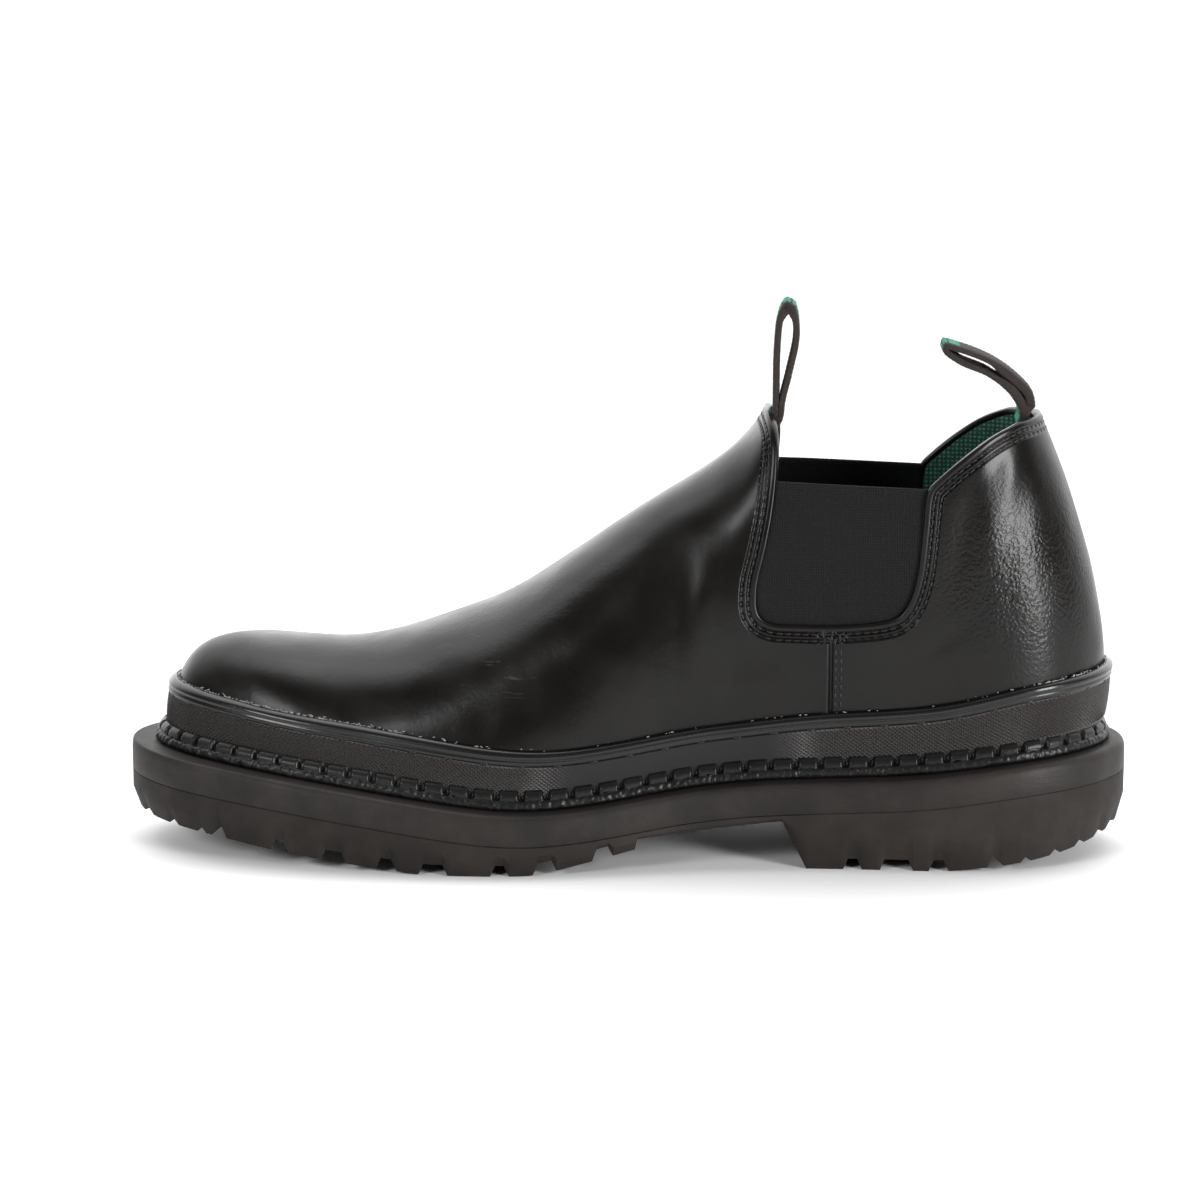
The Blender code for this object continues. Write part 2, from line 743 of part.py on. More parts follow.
# Gores: slabs of the same last, cut to the U with a gap all round
u_line = smooth_line(line[GORE_ROWS], 34)
middle = u_line.mean(axis=0)
along = np.gradient(u_line, axis=0)
inward = np.stack([-along[:, 1], along[:, 0]], axis=1)
inward /= np.linalg.norm(inward, axis=1, keepdims=True)
inward *= np.sign(((middle - u_line) * inward).sum(axis=1).mean())
panel = u_line + 1.2 * GAP * inward
gore_turn = turn_of(np.linspace(0.52, 0.90, 12))
for side, name in ((MEDIAL, "gore_medial"), (LATERAL, "gore_lateral")):
    grid = wall(gore_turn, np.linspace(0.10, 0.86, 10), side)
    rows = grid.shape[1]
    faces = []
    for i in range(len(gore_turn) - 1):
        for j in range(rows - 1):
            corner = i * rows + j
            quad = (corner, corner + rows, corner + rows + 1, corner + 1)
            faces.append(quad if side == MEDIAL else quad[::-1])
    points = grid.reshape(-1, 3)
    depth = GORE_DEPTH + GORE_THICK
    slab = thickened(name, points, faces, -GORE_DEPTH, -depth, boot, elastic, False)
    span = (-BALL_WIDTH, 0) if side == MEDIAL else (0, BALL_WIDTH)
    window = prism(name + "_window", panel, *span, helpers)
    boolean(slab, window, "INTERSECT")

# Pull loops: side view of the folded webbing, set on the front and back of the collar
rising = np.linspace(ridge_walk[-1] / 2, ridge_walk[-1], 801)
throat = float(np.interp(COLLAR_HEIGHT, ridge_z(rising), ridge_x(rising)))
heel_curve = wall(np.array([1.0]), np.linspace(0, 1, 801), MEDIAL)[0]
heel_top = float(np.interp(COLLAR_HEIGHT, heel_curve[:, 2], heel_curve[:, 0])) - BACK_LOOP_INSET
FRONT_LOOP = np.array([
    # outer line, then the eye: rearward offset and height, as shares of FRONT_LOOP_REACH
    (-0.068, -0.300, 0.125, 0.050),
    (0.006, -0.170, 0.124, 0.080),
    (0.068, -0.060, 0.124, 0.120),
    (0.074, 0.350, 0.132, 0.380),
    (0.088, 0.710, 0.153, 0.700),
    (0.115, 0.880, 0.174, 0.820),
    (0.194, 1.000, 0.200, 0.860),
    (0.277, 0.955, 0.227, 0.820),
    (0.315, 0.710, 0.232, 0.680),
    (0.247, 0.320, 0.179, 0.360),
    (0.191, 0.080, 0.141, 0.140),
    (0.174, -0.060, 0.132, 0.090),
    (0.118, -0.170, 0.129, 0.060),
    (0.044, -0.300, 0.127, 0.045),
])
BACK_LOOP = np.array([
    # outer line, then the eye: rearward offset and height, as shares of BACK_LOOP_REACH
    (0.089, -0.353, -0.223, 0.287),
    (-0.018, -0.087, -0.210, 0.290),
    (-0.035, 0.000, -0.198, 0.300),
    (0.045, 0.045, -0.197, 0.315),
    (0.022, 0.190, -0.210, 0.332),
    (-0.138, 0.377, -0.277, 0.383),
    (-0.451, 0.577, -0.470, 0.503),
    (-0.765, 0.690, -0.617, 0.580),
    (-0.888, 0.720, -0.690, 0.603),
    (-0.918, 0.647, -0.700, 0.573),
    (-0.761, 0.503, -0.620, 0.520),
    (-0.448, 0.367, -0.463, 0.440),
    (-0.197, 0.123, -0.287, 0.340),
    (-0.130, -0.040, -0.238, 0.298),
    (-0.031, -0.353, -0.230, 0.292),
])
for name, table, start, reach in (
    ("pull_loop_front", FRONT_LOOP, throat, FRONT_LOOP_REACH),
    ("pull_loop_back", BACK_LOOP, heel_top, BACK_LOOP_REACH),
):
    shape = table * reach + (start, COLLAR_HEIGHT, start, COLLAR_HEIGHT)
    half = LOOP_WIDTH / 2
    prism(name, shape[:, :2], -half, half, boot, webbing, hole=shape[:, 2:])
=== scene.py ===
# %% [markdown]
# Side gore work boot, dressed for its picture. The solids of the boot are loaded as a fixed frame, and
# this notebook lays the finished surfaces over them: leather, elastic, webbing, rubber and thread.
# Every surface is worked out from the same last as the solids, so it needs no fitting.

# %% Load the frame
import math

import bmesh
import bpy
import numpy as np
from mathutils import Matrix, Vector


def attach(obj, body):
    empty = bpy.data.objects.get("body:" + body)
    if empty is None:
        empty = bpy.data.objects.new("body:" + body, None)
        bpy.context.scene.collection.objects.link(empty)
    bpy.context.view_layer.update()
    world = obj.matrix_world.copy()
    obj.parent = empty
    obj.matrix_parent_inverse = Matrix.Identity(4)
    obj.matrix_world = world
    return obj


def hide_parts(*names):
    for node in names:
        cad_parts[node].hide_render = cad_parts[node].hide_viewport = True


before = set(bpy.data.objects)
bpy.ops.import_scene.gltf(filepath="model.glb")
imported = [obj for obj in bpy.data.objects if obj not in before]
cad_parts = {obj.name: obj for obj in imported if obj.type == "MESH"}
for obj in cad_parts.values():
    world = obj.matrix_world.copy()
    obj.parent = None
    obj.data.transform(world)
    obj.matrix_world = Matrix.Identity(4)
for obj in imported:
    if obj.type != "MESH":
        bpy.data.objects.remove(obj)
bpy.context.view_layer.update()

# %% [markdown]
# The last is the wooden or plastic foot that a boot is pulled over. A few short tables hold its
# outline, the height of the sole's edge, the ridge over the foot and the way its walls curve.
# Smooth curves through those shares give a point anywhere on it, which suits a loft better than
# sculpting, because rand, welt and sole can all be read from the same lines.

# %% Sizes and tables of the last
# Lengths are in metres, and a station is a share of the length, from the toe.
FOOT_LENGTH = 0.2896
BALL_WIDTH = 0.090
LAST_HEIGHT = 0.186
TOE_BEND = 0.005
WALL = 0.0024
COLLAR_HEIGHT = 0.1366
GAP = 0.0003
LEDGE_AT_BALL = 0.0188
TOE_RISE = 0.0137
HEEL_RISE = 0.0160
MIDSOLE = 0.0095
EDGE_ROUND = 0.0044
TOE_MARGIN, SIDE_MARGIN, HEEL_MARGIN = 0.0129, 0.0120, 0.0103
TOE_EDGE, SIDE_EDGE, HEEL_EDGE = 0.0120, 0.0090, 0.0067
TOE_SPRING = 0.0115
LUG_DEPTH = 0.0034
SOLE_TAPER = 0.0020
RAND = 0.0015
BEAD_HEIGHT = 0.0048
BEAD_DEPTH = 0.0010
RAND_HEIGHT = 0.0250
INSOLE = 0.0032
GORE_DEPTH = 0.0010
GORE_THICK = 0.0013
SOLE_LENGTH = FOOT_LENGTH + TOE_MARGIN + HEEL_MARGIN
TOE_X = TOE_MARGIN - SOLE_LENGTH / 2
MEDIAL, LATERAL = -1, 1
MM = 0.001

OUTLINE = np.array([
    # station, medial, lateral
    (0.000, 0.000, 0.000), (0.035, 0.216, 0.206), (0.100, 0.345, 0.330), (0.180, 0.430, 0.420),
    (0.280, 0.486, 0.478), (0.360, 0.500, 0.498), (0.450, 0.456, 0.498), (0.550, 0.376, 0.452),
    (0.650, 0.334, 0.392), (0.750, 0.330, 0.352), (0.850, 0.340, 0.332), (0.930, 0.304, 0.292),
    (0.980, 0.176, 0.170), (1.000, 0.000, 0.000),
])
LEDGE = np.array([
    # station, toe, heel
    (0.000, 1.00, 0.00), (0.103, 0.79, 0.00), (0.208, 0.51, 0.00), (0.310, 0.20, 0.00),
    (0.414, 0.00, 0.00), (0.510, 0.00, 0.18), (0.567, 0.00, 0.34), (0.627, 0.00, 0.45),
    (0.738, 0.00, 0.55), (0.811, 0.00, 0.66), (0.887, 0.00, 0.86), (1.000, 0.00, 1.00),
])
RIDGE = np.array([
    # station, height
    (0.090, 0.348), (0.135, 0.343), (0.183, 0.340), (0.228, 0.346), (0.283, 0.371), (0.345, 0.406),
    (0.411, 0.462), (0.476, 0.531), (0.542, 0.599), (0.601, 0.660), (0.635, 0.715), (0.656, 0.777),
    (0.676, 0.852), (0.707, 0.927), (0.759, 0.981), (0.835, 1.000),
])
WALLS = np.array([
    # station, lean in degrees (medial, lateral), rise share, crown share (medial, lateral)
    (0.000, 3, 3, 0.80, 0.66, 0.66),
    (0.035, 2, 3, 0.76, 0.64, 0.64),
    (0.090, 3, 6, 0.70, 0.62, 0.60),
    (0.206, 5, 8, 0.62, 0.62, 0.52),
    (0.376, 8, 10, 0.52, 0.62, 0.52),
    (0.500, 8, 8, 0.48, 0.70, 0.62),
    (0.624, 5, 5, 0.50, 0.84, 0.80),
    (0.835, 4, 4, 0.52, 0.96, 0.96),
    (0.905, 8, 8, 0.42, 0.66, 0.66),
    (0.970, 15, 15, 0.36, 0.30, 0.30),
    (1.000, 20, 20, 0.34, 0.10, 0.10),
])
TOPLINE = np.array([
    # station, height
    (0.560, 1.003), (0.645, 1.003), (0.652, 0.975), (0.656, 0.915), (0.655, 0.858), (0.651, 0.780),
    (0.643, 0.690), (0.6365, 0.625), (0.636, 0.582), (0.642, 0.554), (0.660, 0.540),
    (0.706, 0.538), (0.758, 0.545), (0.786, 0.560), (0.800, 0.606), (0.807, 0.670),
    (0.811, 0.755), (0.815, 0.846), (0.822, 0.862), (0.832, 0.882), (0.853, 0.919),
    (0.885, 0.965), (0.910, 0.989), (0.960, 1.001),
])
GORE_ROWS = slice(4, 18)
RAND_TOP = np.array([
    # station, height
    (0.00, 0.80), (0.15, 0.75), (0.32, 0.73), (0.45, 0.70), (0.60, 0.71), (0.72, 0.78),
    (0.83, 0.81), (0.93, 0.92), (1.00, 0.97),
])
U_FLOOR_ROW = 11
U_BOTTOM = TOPLINE[U_FLOOR_ROW, 1] * COLLAR_HEIGHT
print("last:", FOOT_LENGTH, "m long, sole", round(SOLE_LENGTH, 4), "m")

# %% [markdown]
# A table gives a handful of exact values, and the boot needs thousands between them. A natural
# cubic is the smoothest curve through them all, but it can swing past a value, so lines that must
# not swing use a steadier cubic, whose slope is held back at each value.

# %% Smooth curves through a table


def natural_cubic(knots, values):
    """Cubic pieces whose second slopes solve a tridiagonal system and vanish at both ends."""
    knots, values = np.asarray(knots, float), np.asarray(values, float)
    last = len(knots) - 1
    step = np.diff(knots)
    system = np.eye(last + 1)
    right = np.zeros(last + 1)
    for row in range(1, last):
        system[row, row - 1:row + 2] = step[row - 1], 2 * (step[row - 1] + step[row]), step[row]
        slopes = np.diff(values[row - 1:row + 2]) / step[row - 1:row + 1]
        right[row] = 6 * (slopes[1] - slopes[0])
    bend = np.linalg.solve(system, right)

    def curve(at):
        at = np.asarray(at, float)
        i = np.clip(np.searchsorted(knots, at) - 1, 0, last - 1)
        after, before, width = knots[i + 1] - at, at - knots[i], step[i]
        cubic = (bend[i] * after ** 3 + bend[i + 1] * before ** 3) / (6 * width)
        near = (values[i] / width - bend[i] * width / 6) * after
        far = (values[i + 1] / width - bend[i + 1] * width / 6) * before
        return cubic + near + far

    return curve


def steady_cubic(knots, values):
    """Cubic pieces whose slope at a knot is the weighted harmonic mean of its neighbours' slopes."""
    knots, values = np.asarray(knots, float), np.asarray(values, float)
    step = np.diff(knots)
    slope = np.diff(values) / step
    tangent = np.zeros(len(knots))
    tangent[0], tangent[-1] = slope[0], slope[-1]
    for row in range(1, len(knots) - 1):
        if slope[row - 1] * slope[row] > 0:
            first = 2 * step[row] + step[row - 1]
            second = step[row] + 2 * step[row - 1]
            tangent[row] = (first + second) / (first / slope[row - 1] + second / slope[row])

    def curve(at):
        at = np.asarray(at, float)
        i = np.clip(np.searchsorted(knots, at) - 1, 0, len(step) - 1)
        u = (at - knots[i]) / step[i]
        rise = values[i] * (1 + 2 * u) * (1 - u) ** 2 + values[i + 1] * u * u * (3 - 2 * u)
        lead = tangent[i] * (1 - u) ** 2 * u + tangent[i + 1] * u * u * (u - 1)
        return rise + step[i] * lead

    return curve


def smoothstep(low, high, at):
    """0 below low, 1 above high, and 3 t squared less 2 t cubed between them."""
    t = np.clip((np.asarray(at, float) - low) / (high - low), 0, 1)
    return t * t * (3 - 2 * t)


print("an ease from 0 to 1, at a quarter:", float(smoothstep(0, 1, 0.25)))

# %% [markdown]
# The last itself is a function of two numbers: the turn from toe to heel, and the share of the way
# from the sole's edge up to the ridge. At each turn a Bezier curve leans out of the feather line,
# where upper meets sole, and comes over to the ridge, so every layer can be cut from one skin.

# %% The last as a function of two parameters


def turn_of(station):
    """Turn from 0 at the toe to 1 at the heel: the angle whose cosine runs with the station."""
    return np.arccos(1 - 2 * np.clip(station, 0, 1)) / np.pi


def station_of(turn):
    """Station from 0 at the toe to 1 at the heel: half of one less the cosine of the turn."""
    return (1 - np.cos(np.pi * turn)) / 2


half_width = {
    MEDIAL: natural_cubic(turn_of(OUTLINE[:, 0]), OUTLINE[:, 1] * BALL_WIDTH),
    LATERAL: natural_cubic(turn_of(OUTLINE[:, 0]), OUTLINE[:, 2] * BALL_WIDTH),
}
ledge_height = natural_cubic(
    (LEDGE[:, 0] - 0.5) * SOLE_LENGTH,
    LEDGE_AT_BALL + LEDGE[:, 1] * TOE_RISE + LEDGE[:, 2] * HEEL_RISE,
)
ridge_points = np.stack([TOE_X + RIDGE[:, 0] * FOOT_LENGTH, RIDGE[:, 1] * LAST_HEIGHT], axis=1)
ridge_walk = np.append(0, np.cumsum(np.hypot(*np.diff(ridge_points, axis=0).T)))
ridge_x = natural_cubic(ridge_walk, ridge_points[:, 0])
ridge_z = natural_cubic(ridge_walk, ridge_points[:, 1])
TOE_POLE, BACK_POLE = turn_of(RIDGE[0, 0]), turn_of(RIDGE[-1, 0])
wall_shape = [steady_cubic(turn_of(WALLS[:, 0]), WALLS[:, column]) for column in range(1, 6)]
rand_height = steady_cubic(turn_of(RAND_TOP[:, 0]), RAND_TOP[:, 1] * RAND_HEIGHT)


def eased(share, soft=0.22):
    """Travel from 0 to 1 whose speed ramps up over the first soft share and down over the last."""
    grid = np.linspace(0, 1, 801)
    ramp = np.clip(np.minimum(grid, 1 - grid) / soft, 0, 1)
    pace = ramp * ramp * (3 - 2 * ramp)
    walked = np.append(0, np.cumsum((pace[1:] + pace[:-1]) / 2))
    return np.interp(share, grid, walked / walked[-1])


def feather(turn, side):
    """The line where upper meets sole, in plan, and its outward normal."""
    def plan(at):
        return TOE_X + FOOT_LENGTH * station_of(at), side * half_width[side](at)

    x, y = plan(turn)
    (x0, y0), (x1, y1) = plan(turn - 1e-4), plan(turn + 1e-4)
    normal = np.stack([y0 - y1, x1 - x0], axis=-1) * side
    normal /= np.linalg.norm(normal, axis=-1, keepdims=True)
    return np.stack([x, y], axis=-1), normal


def wall(turn, share, side):
    """Cubic Bezier curves: up from the feather with a lean, and over to the ridge with a crown."""
    turn, share = np.asarray(turn, float), np.asarray(share, float)[None, :, None]
    plan, normal = feather(turn, side)
    foot = np.column_stack([plan, ledge_height(plan[:, 0]) + GAP])
    walked = ridge_walk[-1] * eased((turn - TOE_POLE) / (BACK_POLE - TOE_POLE))
    top = np.stack([ridge_x(walked), 0 * turn, ridge_z(walked)], axis=1)
    at_tip = (turn < TOE_POLE) | (turn > BACK_POLE)
    reach = plan - top[:, :2]
    length = np.linalg.norm(reach, axis=1)
    radial = np.column_stack([reach / np.maximum(length, 1e-9)[:, None], 0 * turn])
    across = np.column_stack([0 * turn, side + 0 * turn, 0 * turn])
    arrive = np.where(at_tip[:, None], radial, across)
    lean = np.radians(wall_shape[0 if side == MEDIAL else 1](turn))
    rise = wall_shape[2](turn) * (top[:, 2] - foot[:, 2])
    crown = wall_shape[3 if side == MEDIAL else 4](turn)
    crown = crown * np.where(at_tip, length, np.abs(plan[:, 1]))
    leave = np.column_stack([normal * np.sin(lean)[:, None], np.cos(lean)])
    near = (foot + rise[:, None] * leave)[:, None]
    far = (top + crown[:, None] * arrive)[:, None]
    back = 1 - share
    return (
        foot[:, None] * back ** 3 + 3 * near * share * back ** 2
        + 3 * far * share ** 2 * back + top[:, None] * share ** 3
    )


def bent(points):
    """The points with the toe turned to the medial side, by the square of the way past the ball."""
    points = np.array(points, float)
    ball = TOE_X + 0.36 * FOOT_LENGTH
    forward = np.clip((ball - points[..., 0]) / (ball - TOE_X), 0, None)
    points[..., 1] += MEDIAL * TOE_BEND * forward ** 2
    return points


print("last: toe pole", round(float(TOE_POLE), 3), "back pole", round(float(BACK_POLE), 3))

# %% [markdown]
# New pieces are grids of points from numpy. A closed form is a grid whose last column repeats the
# first: the doubles are merged afterwards, so the piece is closed and its own UV map still unrolls
# cleanly along the seam. Thread, bar tacks and flecks are each one small template copied by arrays.

# %% Meshes from grids and from copies
DOUBLES, SLIVERS = 1e-6, 1e-7


def new_piece(name, points, faces, finishes, uv=None, smooth=True, closed=True, slots=None):
    """A mesh object from arrays. uv has one pair for each point, and slots a finish for each face."""
    mesh = bpy.data.meshes.new(name)
    mesh.from_pydata(np.asarray(points).tolist(), [], faces)
    if uv is not None:
        layer = mesh.uv_layers.new(name="cloth")
        corner = np.empty(len(mesh.loops), np.int32)
        mesh.loops.foreach_get("vertex_index", corner)
        layer.data.foreach_set("uv", np.asarray(uv, np.float32)[corner].ravel())
    smooth = np.broadcast_to(smooth, len(mesh.polygons))
    mesh.polygons.foreach_set("use_smooth", np.ascontiguousarray(smooth))
    for finish in finishes:
        mesh.materials.append(finish)
    if slots is not None:
        mesh.polygons.foreach_set("material_index", np.asarray(slots, np.int32))
    work = bmesh.new()
    work.from_mesh(mesh)
    bmesh.ops.remove_doubles(work, verts=work.verts, dist=DOUBLES)
    bmesh.ops.dissolve_degenerate(work, edges=work.edges, dist=SLIVERS)
    if closed:
        bmesh.ops.recalc_face_normals(work, faces=work.faces)
        if work.calc_volume(signed=True) < 0:
            bmesh.ops.reverse_faces(work, faces=work.faces)
    work.to_mesh(mesh)
    work.free()
    made = bpy.data.objects.new(name, mesh)
    bpy.context.scene.collection.objects.link(made)
    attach(made, "root")
    print(f"{name}: {len(mesh.polygons)} faces")
    return made


def quads(rows, columns, first=0):
    """Corner indices of the cells of a grid stored row by row."""
    corner = first + np.arange(rows - 1)[:, None] * columns + np.arange(columns - 1)
    corner = corner.ravel()
    return np.stack([corner, corner + columns, corner + columns + 1, corner + 1], axis=1)


def wrapped(grid, axis):
    """The grid with its first line repeated after its last."""
    return np.concatenate([grid, np.take(grid, [0], axis=axis)], axis=axis)


def walked(points):
    """Distance along a line of points."""
    return np.append(0, np.cumsum(np.linalg.norm(np.diff(points, axis=0), axis=1)))


def read_along(at, walk, values):
    """Rows of values read at distances along a walk, one column at a time."""
    return np.stack([np.interp(at, walk, column) for column in values.T], axis=1)


def capped(grid):
    """The grid with a line before and after it drawn together in a point, so that both ends close."""
    first, last = (line.mean(axis=1, keepdims=True) + 0 * line for line in (grid[:1], grid[-1:]))
    return np.concatenate([first, grid, last])


def joined(grids):
    """Points and cells of several grids, numbered on from one to the next."""
    points, faces, total = [], [], 0
    for grid in grids:
        points.append(grid.reshape(-1, 3))
        faces.append(quads(*grid.shape[:2], first=total))
        total += grid.shape[0] * grid.shape[1]
    return np.concatenate(points), np.concatenate(faces).tolist()


def grid_piece(name, grid, finish, **more):
    """One grid of points on the straight last, bent at the toe and made a closed piece."""
    cells = quads(*grid.shape[:2]).tolist()
    return new_piece(name, bent(grid.reshape(-1, 3)), cells, [finish], **more)


def points_of(piece):
    """The piece's points as an array, in the order in which values are painted on them."""
    flat = np.empty(len(piece.data.vertices) * 3)
    piece.data.vertices.foreach_get("co", flat)
    return flat.reshape(-1, 3)


def paint(piece, name, values):
    """A value for each point, kept as an attribute that a finish can read."""
    layer = piece.data.attributes.new(name, "FLOAT", "POINT")
    layer.data.foreach_set("value", np.asarray(values, np.float32))


def thicken(piece, amount):
    """A wall of the given thickness, laid inward from the piece's faces."""
    layer = piece.modifiers.new("thickness", "SOLIDIFY")
    layer.thickness = amount
    layer.offset = -1


def copies(name, template, faces, origins, frames, finish, smooth=True, slots=None):
    """Every point is its origin plus the template's coordinates along the three frame vectors."""
    points = origins[:, None] + np.einsum("pk,nkc->npc", template, frames)
    count = len(template)
    every = [[i + count * copy for i in face] for copy in range(len(origins)) for face in faces]
    return new_piece(name, points.reshape(-1, 3), every, finish, smooth=smooth, slots=slots)


def pill(rings, sides, power=1.0):
    """A closed egg of unit half sizes: x is the cosine of the ring, y and z its sine times a circle."""
    ring = np.linspace(0, np.pi, rings + 2)[1:-1]
    angle = np.linspace(0, 2 * np.pi, sides, endpoint=False)

    def flat(value):
        return np.sign(value) * np.abs(value) ** power

    points = np.stack([
        flat(np.cos(ring))[:, None] + 0 * angle,
        flat(np.sin(ring))[:, None] * flat(np.cos(angle)),
        flat(np.sin(ring))[:, None] * flat(np.sin(angle)),
    ], axis=-1).reshape(-1, 3)
    points = np.vstack([points, (1, 0, 0), (-1, 0, 0)])
    faces = []
    for side in range(sides):
        after = (side + 1) % sides
        faces.append((rings * sides, after, side))
        faces.append((rings * sides + 1, (rings - 1) * sides + side, (rings - 1) * sides + after))
        for row in range(rings - 1):
            low = row * sides
            faces.append((low + side, low + after, low + sides + after, low + sides + side))
    return points, faces


def unit(vectors):
    """Each vector over its own length."""
    return vectors / np.maximum(np.linalg.norm(vectors, axis=-1, keepdims=True), 1e-12)


print("a stitch template:", len(pill(5, 6)[0]), "points")

# %% [markdown]
# Finishes are small node trees. Colour, roughness and bump are built from noise, cells and plain
# arithmetic on the piece's own coordinates, so that nothing slides when the piece is seen from
# another side. A helper class keeps each recipe down to a few readable lines.

# %% Node trees in few lines


class Recipe:
    """One material: node() adds a node, and an input is a value or another node's output."""

    def __init__(self, name, colour, roughness, **sockets):
        self.material = bpy.data.materials.new(name)
        self.material.use_nodes = True
        self.tree = self.material.node_tree
        self.shader = self.tree.nodes["Principled BSDF"]
        self.set("Base Color", (*colour, 1))
        self.set("Roughness", roughness)
        for socket, value in sockets.items():
            self.set(socket.replace("_", " "), value)

    def set(self, socket, value):
        """Give the shader's socket a value or a link."""
        self.link(value, self.shader.inputs[socket])

    def link(self, value, socket):
        """Link the output to the socket, or write the plain value in it."""
        if isinstance(value, bpy.types.NodeSocket):
            self.tree.links.new(value, socket)
        else:
            socket.default_value = value

    def node(self, kind, inputs=(), output=0, **settings):
        made = self.tree.nodes.new("ShaderNode" + kind)
        for key, value in settings.items():
            setattr(made, key, value)
        for key, value in dict(inputs).items():
            self.link(value, made.inputs[key])
        return made.outputs[output]

    def place(self):
        """Where on the piece the point lies, in metres."""
        return self.node("TexCoord", output="Object")

    def axis(self, vector, name):
        return self.node("SeparateXYZ", {0: vector}, output=name)

    def scaled(self, vector, scale, turn=(0, 0, 0)):
        return self.node("Mapping", {"Vector": vector, "Scale": scale, "Rotation": turn})

    def noise(self, vector, scale, detail=2.0, rough=0.5):
        inputs = {"Vector": vector, "Scale": scale, "Detail": detail, "Roughness": rough}
        return self.node("TexNoise", inputs)

    def cells(self, vector, scale):
        """Distance to the nearest of many scattered points, as in the pebbles of a hide."""
        return self.node("TexVoronoi", {"Vector": vector, "Scale": scale}, "Distance")

    def math(self, operation, first, second=0.0):
        return self.node("Math", {0: first, 1: second}, operation=operation)

    def wave(self, value, pitch):
        """Sine of a length, once round in every pitch."""
        return self.math("SINE", self.math("MULTIPLY", value, 2 * math.pi / pitch))

    def ramp(self, value, low, high, to_low=0.0, to_high=1.0):
        """A soft step from to_low at low to to_high at high."""
        inputs = {0: value, 1: low, 2: high, 3: to_low, 4: to_high}
        return self.node("MapRange", inputs, interpolation_type="SMOOTHSTEP")

    def attribute(self, name):
        return self.node("Attribute", output="Fac", attribute_name=name)

    def mix(self, share, first, second):
        made = self.tree.nodes.new("ShaderNodeMix")
        made.data_type = "RGBA"
        self.link(share, made.inputs[0])
        for place, value in ((6, first), (7, second)):
            self.link(value if isinstance(value, bpy.types.NodeSocket) else (*value, 1), made.inputs[place])
        return made.outputs[2]

    def bump(self, height, distance, strength=1.0, over=None):
        """Tilted normals from a height times a distance in metres, over those of another bump."""
        inputs = {"Height": height, "Distance": distance, "Strength": strength}
        if over is not None:
            inputs["Normal"] = over
        return self.node("Bump", inputs)


print("recipe ready")

# %% [markdown]
# The leather is smooth full grain with a waxed satin face: black, with a clear top coat that gives
# the long highlights. Fine pebble grain shows most at the heel quarter, where the hide was looser,
# so a painted "grain" value on the mesh sets how strong it is. Two rows of topstitching pucker
# the leather, and their groove and holes are read from the distance to the topline.

# %% Leather finish
# Stitch sizes are in mm: rows at these distances from the topline, and the step from hole to hole.
STITCH_ROWS = (2.3, 4.3)
STITCH_PITCH = 2.6
GROOVE_HALF, HOLE_INNER, HOLE_OUTER = 0.95, 0.35, 0.85


def leather_finish():
    """Black leather: grain cells and pores by region, soft mottling, scuffs, and painted shade in the stitch
    holes.
    """
    made = Recipe(
        "black_leather", (0.010, 0.0095, 0.0095), 0.32, Specular_IOR_Level=0.21, Coat_Weight=0.04,
        Coat_Roughness=0.22)
    place, grain = made.place(), made.attribute("grain")
    wobble = made.math("MULTIPLY", made.noise(place, 420, 2.0), 0.0016)
    cells = made.cells(made.node("VectorMath", {0: place, 1: wobble}, operation="ADD"), 820)
    pebble = made.ramp(cells, 0.15, 0.75)
    pores = made.noise(place, 2600, 3.0, 0.6)
    fine = made.math("ADD", made.math("MULTIPLY", pebble, 0.7), made.math("MULTIPLY", pores, 0.3))
    strength = made.ramp(grain, 0.0, 1.0, 0.02, 0.32)
    surface = made.bump(fine, 0.00045, strength)
    soft = made.noise(place, 75, 3.0, 0.55)
    surface = made.bump(soft, 0.0011, 0.18, surface)
    distance, along = made.attribute("edge_distance"), made.attribute("edge_walk")
    pit = None
    for row in STITCH_ROWS:
        off = made.math("ABSOLUTE", made.math("SUBTRACT", distance, row))
        groove = made.ramp(off, 0.0, GROOVE_HALF, 1.0, 0.0)
        phase = made.math("SUBTRACT", made.math("MODULO", along, STITCH_PITCH), STITCH_PITCH / 2)
        radius = made.node("VectorMath", {
            0: made.node("CombineXYZ", {0: phase, 1: made.math("MULTIPLY", off, 1.1)}),
        }, "Value", operation="LENGTH")
        hole = made.ramp(radius, HOLE_INNER, HOLE_OUTER, 1.0, 0.0)
        row_pit = made.math("ADD", made.math("MULTIPLY", groove, 0.40), hole)
        pit = row_pit if pit is None else made.math("MAXIMUM", pit, row_pit)
    surface = made.bump(made.math("MULTIPLY", pit, -1.0), 0.0012, 1.0, surface)
    made.set("Normal", surface)
    streaks = made.noise(made.scaled(place, (90, 90, 1100), (0.0, 0.9, 0.0)), 1.0, 4.0, 0.7)
    scuff = made.math("MULTIPLY", made.ramp(streaks, 0.60, 0.72), made.attribute("scuff"))
    cloudy = made.noise(place, 38, 4.0, 0.6)
    colour = made.mix(cloudy, (0.0022, 0.0018, 0.0016), (0.0058, 0.0049, 0.0043))
    colour = made.mix(made.math("MULTIPLY", scuff, 0.7), colour, (0.085, 0.078, 0.072))
    # Painted shade: the leather's colour is darkened in the stitch holes.
    made.set("Base Color", made.mix(made.ramp(pit, 0.5, 1.2), colour, (0.0012, 0.0012, 0.0012)))
    rough = made.ramp(made.noise(place, 55, 3.0), 0.3, 0.75, 0.26, 0.37)
    made.set("Roughness", made.math("ADD", rough, made.math("MULTIPLY", scuff, 0.22)))
    return made.material


leather = leather_finish()
print("leather ready")

# %% [markdown]
# The boot's cloths: ribbed elastic in the gores, a green spacer mesh as lining, woven webbing in
# the loops. Cloth needs threads at their real pitch, so each is a product of waves, in metres.

